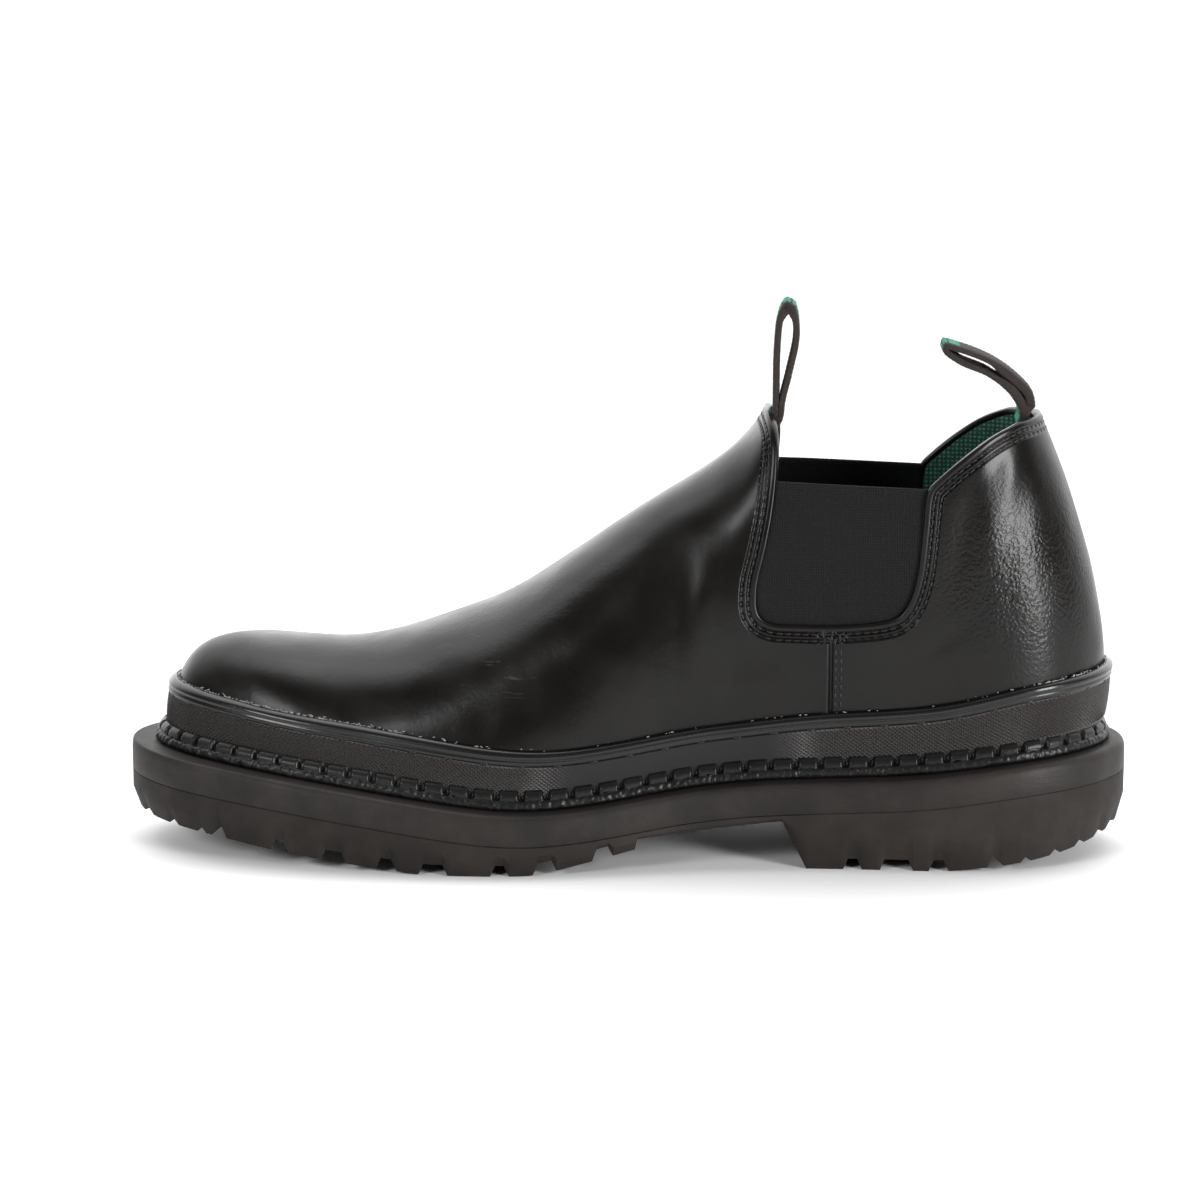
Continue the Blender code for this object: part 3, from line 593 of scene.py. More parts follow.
# %% Cloth finishes
RIB_PITCH, RIB_WEFT = 0.00074, 0.0008
TAPE_WEFT, TAPE_WARP = 0.0012, 0.0009
STRIPE_HALF, STRIPE_SOFT = 0.0070, 0.0004


def elastic_finish():
    """Elastic webbing: narrow upright ribs, crossed by the weft, with a little fluff."""
    made = Recipe(
        "gore_elastic", (0.010, 0.010, 0.011), 0.92, Specular_IOR_Level=0.15, Sheen_Weight=0.04,
        Sheen_Roughness=0.5)
    place = made.place()
    across = made.wave(made.axis(place, "X"), RIB_PITCH)
    up = made.wave(made.axis(place, "Z"), RIB_WEFT)
    fluff = made.noise(place, 1500, 3.0, 0.7)
    rib = made.math("ADD", made.math("MULTIPLY", across, 0.22), made.math("MULTIPLY", up, 0.16))
    rib = made.math("ADD", rib, fluff)
    made.set("Normal", made.bump(rib, 0.00025, 0.7))
    # Painted shade and highlight: darker in the valleys between the ribs and lighter on their crests; the
    # fluff adds random tone.
    made.set("Base Color", made.mix(
        made.ramp(rib, 0.1, 1.0), (0.0042, 0.0042, 0.0045), (0.0108, 0.0108, 0.0114)))
    return made.material


def mesh_finish(name, dark, light, pitch):
    """Spacer mesh: the product of two slanted waves makes a net of holes and knots, painted darker in the
    holes as shade and lighter on the knots as highlight.
    """
    made = Recipe(name, dark, 0.88, Specular_IOR_Level=0.2, Sheen_Weight=0.05, Sheen_Roughness=0.5)
    place = made.place()
    along, up = made.axis(place, "X"), made.axis(place, "Z")
    slant = pitch / 0.7
    net = made.math(
        "MULTIPLY", made.wave(made.math("ADD", along, up), slant),
        made.wave(made.math("SUBTRACT", along, up), slant))
    flecks = made.noise(place, 900, 2.0, 0.6)
    knots = made.math("ADD", made.math("MULTIPLY", net, 0.5), flecks)
    made.set("Normal", made.bump(knots, 0.0004, 0.8))
    # Painted shade in the holes and painted highlight on the knots; the flecks add random tone.
    made.set("Base Color", made.mix(made.ramp(knots, 0.45, 1.0), dark, light))
    return made.material


def webbing_finish():
    """Woven tape from its own UV map: ribs across, a green stripe down the middle of one face."""
    made = Recipe(
        "loop_webbing", (0.030, 0.022, 0.020), 0.86, Specular_IOR_Level=0.2, Sheen_Weight=0.05,
        Sheen_Roughness=0.5)
    thread = made.node("UVMap", uv_map="cloth")
    weft = made.wave(made.axis(thread, "X"), TAPE_WEFT)
    warp = made.wave(made.axis(thread, "Y"), TAPE_WARP)
    fluff = made.noise(made.place(), 1800, 3.0, 0.7)
    weave = made.math("ADD", made.math("MULTIPLY", made.math("MULTIPLY", weft, warp), 0.5), fluff)
    made.set("Normal", made.bump(weave, 0.0003, 0.8))
    aside = made.math("ABSOLUTE", made.axis(made.place(), "Y"))
    wide = made.ramp(aside, STRIPE_HALF, STRIPE_HALF + STRIPE_SOFT, 1.0, 0.0)
    stripe = made.math("MULTIPLY", made.ramp(made.attribute("stripe"), 0.4, 0.6), wide)
    # Painted shade and highlight: brown and green are darker where the weave sinks and lighter where it
    # stands; the fluff adds random tone.
    brown = made.mix(made.ramp(weave, 0.1, 1.0), (0.015, 0.0115, 0.0104), (0.062, 0.048, 0.043))
    green = made.mix(made.ramp(weave, 0.1, 1.0), (0.012, 0.120, 0.075), (0.050, 0.420, 0.270))
    made.set("Base Color", made.mix(stripe, brown, green))
    return made.material


elastic = elastic_finish()
lining_cloth = mesh_finish("lining_mesh", (0.0200, 0.0600, 0.0470), (0.085, 0.220, 0.165), 0.0019)
footbed_cloth = mesh_finish("footbed_cloth", (0.0060, 0.0150, 0.0130), (0.022, 0.060, 0.048), 0.0012)
webbing = webbing_finish()
print("cloths ready")

# %% [markdown]
# Four rubbers and plastics. The sole is matte with a brownish bloom and faint moulding lines, the
# welt strip is rougher, the rand is finely knurled, and the bead over it is smooth and glossy.
# Thread is waxed black polyester, and the flecks are dried sole cement.

# %% Rubber, thread and cement finishes
# Along the boot the knurl fades out between the first two values, and in again between the others; the rand's
# painted highlight and painted shade follow the same fade.
KNURL_FADE = (-0.034, -0.010, 0.042, 0.064)


def rubber_finish(name, dark, light, roughness, coarse, lines=0.0, **sockets):
    """Moulded rubber: cloudy bloom, a fine tooth, and drawn lines that follow the sole's length."""
    made = Recipe(name, dark, roughness, Specular_IOR_Level=0.20, **sockets)
    place = made.place()
    cloudy = made.noise(place, 60, 4.0, 0.6)
    tooth = made.noise(place, coarse, 3.0, 0.65)
    drawn = made.noise(made.scaled(place, (25, 25, 1500)), 1.0, 3.0, 0.6)
    made.set("Base Color", made.mix(made.ramp(cloudy, 0.3, 0.75), dark, light))
    surface = made.bump(tooth, 0.00018, 0.5)
    if lines:
        surface = made.bump(drawn, 0.00015, lines, surface)
    made.set("Normal", surface)
    made.set("Roughness", made.ramp(cloudy, 0.3, 0.8, roughness + 0.06, roughness - 0.06))
    return made.material


def knurl_finish():
    """Rand rubber: lighter with painted highlight where it is knurled, and darker with painted shade, as well
    as duller, where it is plain at the waist.
    """
    made = Recipe("rand_rubber", (0.010, 0.009, 0.009), 0.38, Specular_IOR_Level=0.38)
    place = made.place()
    along = made.axis(place, "X")
    front = made.ramp(along, *KNURL_FADE[:2], 1.0, 0.0)
    knurled = made.math("ADD", front, made.ramp(along, *KNURL_FADE[2:]))
    # Painted highlight and shade: the knurled rubber is painted lighter, as light caught on its facets, and
    # the plain waist darker, as the upper's shadow.
    made.set("Base Color", made.mix(knurled, (0.0030, 0.0027, 0.0026), (0.0270, 0.0242, 0.0230)))
    made.set("Roughness", made.ramp(knurled, 0.0, 1.0, 0.66, 0.36))
    return made.material


sole_rubber = rubber_finish(
    "sole_rubber", (0.0130, 0.0108, 0.0094), (0.0215, 0.0177, 0.0155), 0.66, 900, 0.35)
midsole_rubber = rubber_finish(
    "midsole_rubber", (0.0125, 0.0106, 0.0096), (0.0215, 0.0183, 0.0165), 0.52, 800, 0.5)
welt_rubber = rubber_finish(
    "welt_rubber", (0.0030, 0.0028, 0.0028), (0.0090, 0.0084, 0.0082), 0.40, 700,
    Coat_Weight=0.15, Coat_Roughness=0.3)
rand_rubber = knurl_finish()
bead_rubber = rubber_finish(
    "bead_rubber", (0.0050, 0.0047, 0.0047), (0.0095, 0.0090, 0.0088), 0.27, 500,
    Coat_Weight=0.35, Coat_Roughness=0.14)
thread_finish = Recipe("black_thread", (0.006, 0.0055, 0.0055), 0.45, Specular_IOR_Level=0.4).material
cement = Recipe("dried_cement", (0.30, 0.28, 0.26), 0.6)
cement.set("Base Color", cement.mix(
    cement.noise(cement.place(), 500), (0.03, 0.028, 0.027), (0.38, 0.36, 0.34)))
print("rubbers ready")

# %% [markdown]
# The upper is pulled over the last in one smooth skin, and then trimmed along the topline with its
# two U-shaped cut-outs. The skin is a grid from the medial feather over the ridge to the lateral
# feather. A signed distance to the topline in side view says where leather stays; points near the
# line are pulled on to it, and the triangles that still cross it are cut there.

# %% A sheet over the last


def smooth_line(points, count):
    """Evenly spaced points on the steady cubic through the given ones."""
    walk = walked(points)
    at = np.linspace(0, walk[-1], count)
    return np.stack([steady_cubic(walk, points[:, axis])(at) for axis in (0, 1)], axis=1)


def turns(toe, middle, heel):
    """Turn values in three runs that meet at the two poles."""
    return np.concatenate([
        np.linspace(0, TOE_POLE, toe + 1)[:-1],
        np.linspace(TOE_POLE, BACK_POLE, middle + 1)[:-1],
        np.linspace(BACK_POLE, 1, heel + 1),
    ])


def sheet(turn, share):
    """Points and triangles of the last's skin, zipped at toe and heel and gathered at the poles."""
    medial, lateral = wall(turn, share, MEDIAL), wall(turn, share, LATERAL)
    grid = np.concatenate([medial, lateral[:, -2::-1]], axis=1)
    columns, rows, _ = grid.shape
    ridge = len(share) - 1
    index = np.arange(columns * rows).reshape(columns, rows)
    for end in (0, -1):
        index[end, ridge + 1:] = index[end, ridge - 1::-1]
    index[turn <= TOE_POLE, ridge] = index[0, ridge]
    index[turn >= BACK_POLE, ridge] = index[-1, ridge]
    corner = index.ravel()[quads(columns, rows)]
    triangles = np.concatenate([corner[:, [0, 1, 2]], corner[:, [0, 2, 3]]])
    a, b, c = triangles.T
    triangles = triangles[(a != b) & (b != c) & (a != c)]
    used, compact = np.unique(triangles, return_inverse=True)
    return grid.reshape(-1, 3)[used], compact.reshape(-1, 3)


def inside_distance(points, polygon):
    """Distance from (x, z) points to a closed polygon: negative inside it, positive outside."""
    start, end = polygon, np.roll(polygon, -1, axis=0)
    along = end - start
    nearest = np.full(len(points), np.inf)
    inside = np.zeros(len(points), bool)
    for (x0, z0), (dx, dz) in zip(start, along):
        share = ((points[:, 0] - x0) * dx + (points[:, 1] - z0) * dz) / (dx * dx + dz * dz)
        share = np.clip(share, 0, 1)
        away = np.hypot(points[:, 0] - x0 - share * dx, points[:, 1] - z0 - share * dz)
        nearest = np.minimum(nearest, away)
        crosses = (z0 > points[:, 1]) != (z0 + dz > points[:, 1])
        if dz:
            inside ^= crosses & (points[:, 0] < x0 + (points[:, 1] - z0) / dz * dx)
    return np.where(inside, -nearest, nearest)


def trimmed(points, triangles, field):
    """The part of a triangle sheet where the field is positive, with a clean edge where it is 0."""
    edges = np.unique(np.sort(np.concatenate([
        triangles[:, [0, 1]], triangles[:, [1, 2]], triangles[:, [2, 0]]]), axis=1), axis=0)
    points, field = points.copy(), field.copy()
    edges = edges[field[edges[:, 0]] * field[edges[:, 1]] < 0]
    share = field[edges[:, 0]] / (field[edges[:, 0]] - field[edges[:, 1]])
    crossing = points[edges[:, 0]] + share[:, None] * (points[edges[:, 1]] - points[edges[:, 0]])
    nearest = np.minimum(share, 1 - share)
    moved = np.where(share < 0.5, edges[:, 0], edges[:, 1])
    for pick in np.argsort(-nearest):
        if nearest[pick] < 0.3:
            points[moved[pick]] = crossing[pick]
            field[moved[pick]] = 0
    kept = triangles[(field[triangles] >= 0).all(axis=1) & (field[triangles] > 0).any(axis=1)].tolist()
    added, total, cut = [], len(points), {}

    def crossed(a, b):
        """Index of the point where edge a b meets the zero line."""
        key = (min(a, b), max(a, b))
        if key not in cut:
            t = field[a] / (field[a] - field[b])
            cut[key] = total + len(added)
            added.append(points[a] + t * (points[b] - points[a]))
        return cut[key]

    mixed = (field[triangles] < 0).any(axis=1) & (field[triangles] > 0).any(axis=1)
    for triangle in triangles[mixed].tolist():
        ring = []
        for a, b in zip(triangle, triangle[1:] + triangle[:1]):
            if field[a] >= 0:
                ring.append(a)
            if field[a] * field[b] < 0:
                ring.append(crossed(a, b))
        kept += [[ring[0], ring[i], ring[i + 1]] for i in range(1, len(ring) - 1)]
    if added:
        points = np.vstack([points, added])
        field = np.append(field, np.zeros(len(added)))
    used, compact = np.unique(np.array(kept), return_inverse=True)
    return points[used], compact.reshape(-1, 3), field[used]


def point_normals(points, triangles):
    """Area-weighted mean of the normals of the triangles round each point."""
    corner = points[triangles]
    face = np.cross(corner[:, 1] - corner[:, 0], corner[:, 2] - corner[:, 0])
    normals = np.zeros_like(points)
    for place in range(3):
        np.add.at(normals, triangles[:, place], face)
    return unit(normals)


topline = TOPLINE * (FOOT_LENGTH, COLLAR_HEIGHT) + (TOE_X, 0)
opening = smooth_line(topline[1:-1], 260)
lift = (0, 0.09)
opening = np.vstack([topline[0], opening, topline[-1], topline[-1] + lift, topline[0] + lift])
SEAM_X, SEAM_REACH = 0.0640, 0.020
seam_turns = turn_of((SEAM_X - TOE_X) / FOOT_LENGTH + np.linspace(-SEAM_REACH, SEAM_REACH, 41))
# The first columns past the toe's pole nearly meet at the ridge, too close for a wall's thickness,
# and those near the side seam give way to closer ones that can carry its fold.
TOE_COLUMNS, SIDE_COLUMNS, HEEL_COLUMNS, CROWDED = 38, 150, 36, 3
columns = turns(TOE_COLUMNS, SIDE_COLUMNS, HEEL_COLUMNS)
columns = np.delete(columns, TOE_COLUMNS + 1 + np.arange(CROWDED))
columns = columns[(columns < seam_turns[0] - 0.001) | (columns > seam_turns[-1] + 0.001)]
columns = np.sort(np.concatenate([columns, seam_turns]))
skin, skin_faces = sheet(columns, np.linspace(0, 1, 90))
skin, skin_faces, skin_field = trimmed(skin, skin_faces, inside_distance(skin[:, [0, 2]], opening))
skin_normals = point_normals(skin, skin_faces)
print("skin:", len(skin), "points,", len(skin_faces), "triangles")

# %% [markdown]
# Stitches, the folded edge and their grooves all follow the topline. Its points are put in order
# along the closed border, and softened until a stitch laid on them keeps its direction.

# %% The topline as a closed path


def border_loop(triangles, on_line):
    """Indices along the closed border whose points all lie on the trimmed line."""
    edges = np.concatenate([triangles[:, [0, 1]], triangles[:, [1, 2]], triangles[:, [2, 0]]])
    key = np.sort(edges, axis=1)
    _, place, count = np.unique(key, axis=0, return_index=True, return_counts=True)
    border = edges[place[count == 1]]
    border = border[on_line[border].all(axis=1)]
    following = dict(border.tolist())
    start = border[0, 0]
    loop = [start]
    while following[loop[-1]] != start:
        loop.append(following[loop[-1]])
    return np.array(loop)


def softened(values, times):
    """A closed line of values, each moved towards the mean of its neighbours a few times."""
    for _ in range(times):
        values = values / 2 + (np.roll(values, 1, axis=0) + np.roll(values, -1, axis=0)) / 4
    return values


EDGE_STEP = 0.0008
loop = border_loop(skin_faces, skin_field == 0)
ring, ring_normals = wrapped(skin[loop], 0), wrapped(skin_normals[loop], 0)
ring_walk = walked(ring)
count = int(ring_walk[-1] / EDGE_STEP)
edge_walk = np.linspace(0, ring_walk[-1], count, endpoint=False)
edge = softened(read_along(edge_walk, ring_walk, ring), 3)
edge_up = unit(softened(read_along(edge_walk, ring_walk, ring_normals), 12))
edge_along = unit(np.roll(edge, -1, axis=0) - np.roll(edge, 1, axis=0))
edge_up = unit(edge_up - (edge_up * edge_along).sum(axis=1, keepdims=True) * edge_along)
edge_in = np.cross(edge_up, edge_along)
probe = inside_distance((edge + MM * edge_in)[:, [0, 2]], opening)
edge_in *= np.sign(np.median(probe))
print("topline:", round(ring_walk[-1] * 1000), "mm round,", count, "steps")

# %% [markdown]
# Leather that has been lasted and handled is never a clean surface. A list of soft
# troughs and ridges, each a Gaussian on one side of the boot, gives the slack folds behind the
# gore, the dent at the waist and the ripple over the instep. The side seam is a fold beside a groove.

# %% Creases and seams in the leather
CREASES = (
    # side, x and z of the middle, half length, half width (mm), tilt (degrees), depth (mm)
    (MEDIAL, 19, 80, 15, 3.6, 86, 0.55),
    (MEDIAL, 25, 82, 13, 3.4, 84, -0.45),
    (MEDIAL, 104, 104, 15, 3.4, 84, 0.75),
    (MEDIAL, 111, 100, 20, 5.0, 95, -0.55),
    (MEDIAL, 100, 117, 6, 2.2, 50, 0.40),
    (MEDIAL, 112, 122, 5, 1.9, 60, 0.30),
    (MEDIAL, 117, 118, 8, 2.2, 75, -0.30),
    (MEDIAL, 121, 108, 12, 3.0, 80, 0.35),
    (MEDIAL, 99, 70, 9, 2.4, 40, 0.28),
    (MEDIAL, 93, 66, 9, 2.4, 35, 0.22),
    (MEDIAL, -32, 52, 26, 7.0, 30, 0.45),
    (MEDIAL, -8, 70, 20, 6.0, 35, -0.35),
    (MEDIAL, 40, 62, 12, 5.0, 10, 0.30),
    (MEDIAL, 88, 58, 16, 5.0, 5, 0.30),
    (MEDIAL, -78, 48, 22, 4.0, 4, 0.30),
    (LATERAL, 20, 78, 14, 4.0, 80, 0.55),
    (LATERAL, 27, 82, 14, 4.0, 84, -0.40),
    (LATERAL, 105, 102, 16, 3.6, 86, 0.70),
    (LATERAL, 112, 98, 18, 5.0, 92, -0.50),
    (LATERAL, 101, 118, 6, 2.2, 55, 0.35),
    (LATERAL, 98, 68, 9, 2.6, 38, 0.26),
    (LATERAL, -30, 54, 26, 7.0, 28, 0.45),
    (LATERAL, 42, 60, 12, 5.0, 12, 0.30),
)


def crease_depth(points):
    """Sum of depth times exp(-(along / length) ** 2 - (across / width) ** 2) over the creases."""
    total = np.zeros(len(points))
    for side, x, z, length, width, tilt, depth in CREASES:
        dx, dz = points[:, 0] - x * MM, points[:, 2] - z * MM
        turn = math.radians(tilt)
        along = (dx * math.cos(turn) + dz * math.sin(turn)) / (length * MM)
        across = (dz * math.cos(turn) - dx * math.sin(turn)) / (width * MM)
        here = smoothstep(0, 0.006, points[:, 1] * side)
        total += here * depth * MM * np.exp(-along ** 2 - across ** 2)
    return total


def seam_relief(points):
    """Below the gore: a stitched groove, with the front panel's fold standing just before it."""
    off = (points[:, 0] - SEAM_X) / MM
    shown = smoothstep(0.040, 0.044, points[:, 2]) * (points[:, 2] < U_BOTTOM)
    groove = -0.80 * np.exp(-(off / 0.50) ** 2)
    fold = 0.60 * np.exp(-((off + 1.5) / 0.80) ** 2)
    return shown * (groove + fold) * MM


def back_relief(points):
    """The heel seam: a low rib down the middle of the back."""
    behind = smoothstep(0.095, 0.120, points[:, 0])
    return behind * 0.25 * MM * np.exp(-(points[:, 1] / (0.9 * MM)) ** 2)


def slow_waves(points, count, shortest, longest, height):
    """Sum of plane waves in random directions: the uneven pull of leather over the last."""
    pick = np.random.default_rng(3)
    ways = unit(pick.normal(0, 1, (count, 3)))
    lengths = pick.uniform(shortest, longest, count) * MM
    phases = pick.uniform(0, 2 * np.pi, count)
    return height * MM * np.sin(points @ (ways / lengths[:, None] * 2 * np.pi).T + phases).sum(axis=1)


relief = seam_relief(skin) + back_relief(skin) - crease_depth(skin)
relief += slow_waves(skin, 10, 20, 48, 0.05) + slow_waves(skin, 8, 8, 14, 0.010)
relief *= smoothstep(0, 0.004, skin_field + 1e-4)
relief *= smoothstep(0.0, 0.010, skin[:, 2] - ledge_height(skin[:, 0]))
dressed = skin + relief[:, None] * skin_normals
print("deepest crease", round(float(-relief.min() / MM), 2), "mm")

# %% [markdown]
# The relief has moved the skin, and now a Solidify modifier gives it the hide's thickness, inward.
# Values painted on its points tell the finish where it is: the distance to the topline, the way
# along it, and how much grain and scuffing the spot shows.

# %% The leather upper
LEATHER = 0.0015
EDGE_ZONE, BATCH = 0.012, 2000


def nearest_edge(points):
    """Distance in mm to the topline and how far along it, read at the closest edge point."""
    closest = np.full(len(points), np.inf)
    at = np.zeros(len(points))
    low, high = edge.min(axis=0) - EDGE_ZONE, edge.max(axis=0) + EDGE_ZONE
    near = np.flatnonzero(((points > low) & (points < high)).all(axis=1))
    for first in range(0, len(near), BATCH):
        part = near[first:first + BATCH]
        gap = np.linalg.norm(points[part, None] - edge[None], axis=2)
        pick = gap.argmin(axis=1)
        offset = points[part] - edge[pick]
        inward = np.abs((offset * edge_in[pick]).sum(axis=1))
        closest[part] = np.maximum(inward, gap.min(axis=1) * 0.98)
        at[part] = edge_walk[pick] + (offset * edge_along[pick]).sum(axis=1)
    return np.minimum(closest, EDGE_ZONE) / MM, at / MM


def blob(points, side, x, z, wide, tall):
    """1 at a spot on one side, falling off as a Gaussian in side view."""
    here = smoothstep(-0.004, 0.008, points[:, 1] * side)
    dx, dz = (points[:, 0] - x * MM) / (wide * MM), (points[:, 2] - z * MM) / (tall * MM)
    return here * np.exp(-dx ** 2 - dz ** 2)


upper = new_piece("leather_upper", bent(dressed), skin_faces.tolist(), [leather], closed=False)
placed = points_of(upper)
placed_distance, placed_walk = nearest_edge(placed)
paint(upper, "edge_distance", placed_distance)
paint(upper, "edge_walk", placed_walk)
grain = 0.10 + 0.85 * blob(placed, MEDIAL, 118, 88, 26, 26) + 0.85 * blob(placed, LATERAL, 118, 88, 26, 26)
grain = grain + 0.25 * smoothstep(0.03, -0.05, placed[:, 0]) * smoothstep(0.05, 0.09, placed[:, 2])
paint(upper, "grain", np.clip(grain, 0, 1))
scuffs = blob(placed, MEDIAL, -42, 62, 16, 9)
paint(upper, "scuff", np.clip(scuffs + 0.7 * blob(placed, LATERAL, -50, 50, 30, 12), 0, 1))
thicken(upper, LEATHER)
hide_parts("upper")

# %% [markdown]
# Behind the leather lies a lining of green spacer mesh, which shows inside the collar. It is the
# same sheet, coarser, moved in by the leather's thickness and given a thin wall of its own.

# %% The lining
LINING, LINING_GAP = 0.0007, 0.0001
inner, inner_faces = sheet(turns(22, 90, 22), np.linspace(0, 1, 52))
inner, inner_faces, _ = trimmed(inner, inner_faces, inside_distance(inner[:, [0, 2]], opening))
inner = inner - (LEATHER + LINING_GAP) * point_normals(inner, inner_faces)
lining = new_piece("collar_lining", bent(inner), inner_faces.tolist(), [lining_cloth], closed=False)
thicken(lining, LINING)

# %% [markdown]
# The cut edge of the topline is folded over and stitched down. A small rounded profile carried
# along the closed path of the edge makes that roll, and two rows of stitches follow inside it.

# %% Rolled edge and topstitching


def profile_ring(middle, half, power, count):
    """A closed rounded box: half size times the signed power of cosine and sine."""
    angle = np.linspace(0, 2 * np.pi, count, endpoint=False)
    both = np.stack([np.cos(angle), np.sin(angle)], axis=1)
    return np.asarray(middle) + np.asarray(half) * np.sign(both) * np.abs(both) ** power


def swept(path, across, up, profile):
    """Grid of path point + first profile coordinate * across + second * up."""
    return path[:, None] + profile[None, :, :1] * across[:, None] + profile[None, :, 1:] * up[:, None]


roll = profile_ring((0.72 * MM, -1.10 * MM), (1.12 * MM, 1.46 * MM), 0.62, 18)
rolled = grid_piece("rolled_edge", wrapped(wrapped(swept(edge, edge_in, edge_up, roll), 1), 0), leather)


def on_leather(along, distance, depth):
    """Points at a walk along the topline and a distance inside it, sunk by a depth, and normals."""
    whole_walk = np.append(edge_walk, ring_walk[-1])
    point, inward = (read_along(along, whole_walk, wrapped(line, 0)) for line in (edge, edge_in))
    target = point + distance * inward
    nearest = np.stack([np.linalg.norm(skin - one, axis=1).argmin() for one in target])
    normal = skin_normals[nearest]
    target = target - ((target - skin[nearest]) * normal).sum(axis=1, keepdims=True) * normal
    return target - depth * normal, normal


STITCH_SINK, LOOK_AHEAD = 0.10 * MM, 0.4 * MM
draw = np.random.default_rng(7)
stitch, stitch_faces = pill(5, 6, 0.8)
origins, frames = [], []
for row in STITCH_ROWS:
    at = np.arange(0, ring_walk[-1] - STITCH_PITCH * MM / 2, STITCH_PITCH * MM)
    point, normal = on_leather(at, row * MM, STITCH_SINK)
    point_ahead, _ = on_leather(at + LOOK_AHEAD, row * MM, STITCH_SINK)
    direction = unit(point_ahead - point)
    aside = unit(np.cross(normal, direction))
    origins.append(point)
    frames.append(np.stack([0.95 * MM * direction, 0.30 * MM * aside, 0.32 * MM * normal], axis=1))
topstitch = copies(
    "topstitching", stitch, stitch_faces, bent(np.concatenate(origins)), np.concatenate(frames),
    [thread_finish])

# %% [markdown]
# Below each gore two rows of stitches close the side seam, and a knot of short bar-tack threads
# holds its top. They are laid on the skin where the side view says, the tacks at uneven angles.

# %% Side seam stitches and bar tacks
SEAM_PITCH = 2.7
SEAM_ROWS = (0.0013, 0.0030)
TACKS = 34


def on_side(x, z, side, height):
    """Points over the leather at x and z in side view, with the surface's normal there."""
    half = np.flatnonzero(skin[:, 1] * side > 0)
    picks = np.array([half[np.hypot(skin[half, 0] - a, skin[half, 2] - b).argmin()] for a, b in zip(x, z)])
    normal = skin_normals[picks]
    point = skin[picks].copy()
    missing = np.stack([x - point[:, 0], 0 * x, z - point[:, 2]], axis=1)
    point += missing - (missing * normal).sum(axis=1, keepdims=True) * normal
    return point + height * normal, normal


def laid(points, normals, directions, half_long, half_wide):
    """Frames of stitches that lie on a surface along the given directions."""
    directions = unit(directions - (directions * normals).sum(axis=1, keepdims=True) * normals)
    across = np.cross(normals, directions)
    return np.stack([half_long * directions, half_wide * across, half_wide * normals], axis=1)


origins, frames = [], []
for side in (MEDIAL, LATERAL):
    z = np.arange(0.0495, U_BOTTOM - 0.0065, SEAM_PITCH * MM)
    upward = np.tile((0.0, 0.0, 1.0), (len(z), 1))
    for behind in SEAM_ROWS:
        point, normal = on_side(np.full(len(z), SEAM_X + behind), z, side, 0.0)
        origins.append(point)
        frames.append(laid(point, normal, upward, 0.95 * MM, 0.32 * MM))
    x = SEAM_X + draw.uniform(-0.0045, 0.0045, TACKS)
    z = U_BOTTOM - 0.0012 - draw.uniform(0.0, 0.0040, TACKS)
    point, normal = on_side(x, z, side, 0.0002)
    way = np.stack([draw.normal(0.5, 0.6, TACKS), 0 * x, draw.normal(0, 1, TACKS)], axis=1)
    origins.append(point)
    frames.append(laid(point, normal, way, 0.75 * MM, 0.24 * MM))
seam_stitches = copies(
    "seam_stitches", stitch, stitch_faces, bent(np.concatenate(origins)), np.concatenate(frames),
    [thread_finish])

# %% [markdown]
# The gores are elastic webbing set behind the leather edge. Each is the last's wall between the two
# sides of the U, trimmed with the same routine, pushed in by its depth and thickened, with a denser
# selvage along the top.

# %% Gores
GORE_FOOT, GORE_TALL, GORE_SWELL = 0.0739, 0.0433, 0.0005
RIM_STEPS, RIM_SOFT = 60, 4
SELVAGE = profile_ring((-0.9 * MM, -GORE_DEPTH - 0.0008), (1.15 * MM, 0.85 * MM), 0.7, 14)
u_line = smooth_line(topline[GORE_ROWS], 120)
gore_columns = turn_of(np.linspace(0.60, 0.84, 84))
gore_share = np.linspace(0.10, 0.86, 90)


def gore_rim(points, side):
    """A softened line over the wall between the two tops of the U, with its outward direction."""
    rim = np.empty((RIM_STEPS, 3))
    for row, (x, z) in enumerate(np.linspace(u_line[0], u_line[-1], RIM_STEPS)):
        pick = np.abs(points[:, [0, 2]] - (x, z)).sum(axis=1).argmin()
        rim[row] = (x, points[pick, 1], z)
    window = 2 * RIM_SOFT + 1
    rim[:, 1] = np.convolve(np.pad(rim[:, 1], RIM_SOFT, "edge"), np.full(window, 1 / window), "valid")
    along = unit(np.gradient(rim, axis=0))
    outward = np.cross(along, (0, 0, 1)) * (1 if side == MEDIAL else -1)
    return rim, unit(outward * (1, 1, 0))


for side, name in ((MEDIAL, "gore_medial"), (LATERAL, "gore_lateral")):
    grid = wall(gore_columns, gore_share, side)
    corner = quads(*grid.shape[:2])
    corner = corner if side == MEDIAL else corner[:, ::-1]
    triangles = np.concatenate([corner[:, [0, 1, 2]], corner[:, [0, 2, 3]]])
    wall_points = grid.reshape(-1, 3)
    inside = -inside_distance(wall_points[:, [0, 2]], u_line)
    panel, triangles, _ = trimmed(wall_points, triangles, inside)
    normals = point_normals(panel, triangles)
    swell = GORE_SWELL * np.sin(np.clip((panel[:, 2] - GORE_FOOT) / GORE_TALL, 0, 1) * np.pi)
    panel = panel - (GORE_DEPTH + GAP - swell)[:, None] * normals
    gore = new_piece("elastic_" + name[5:], bent(panel), triangles.tolist(), [elastic], closed=False)
    thicken(gore, GORE_THICK)
    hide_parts(name)
    rim, outward = gore_rim(wall_points, side)
    upright = np.broadcast_to((0.0, 0.0, 1.0), rim.shape)
    band = wrapped(swept(rim, upright, outward, SELVAGE), 1)
    selvage = grid_piece("selvage_" + name[5:], capped(band), elastic)

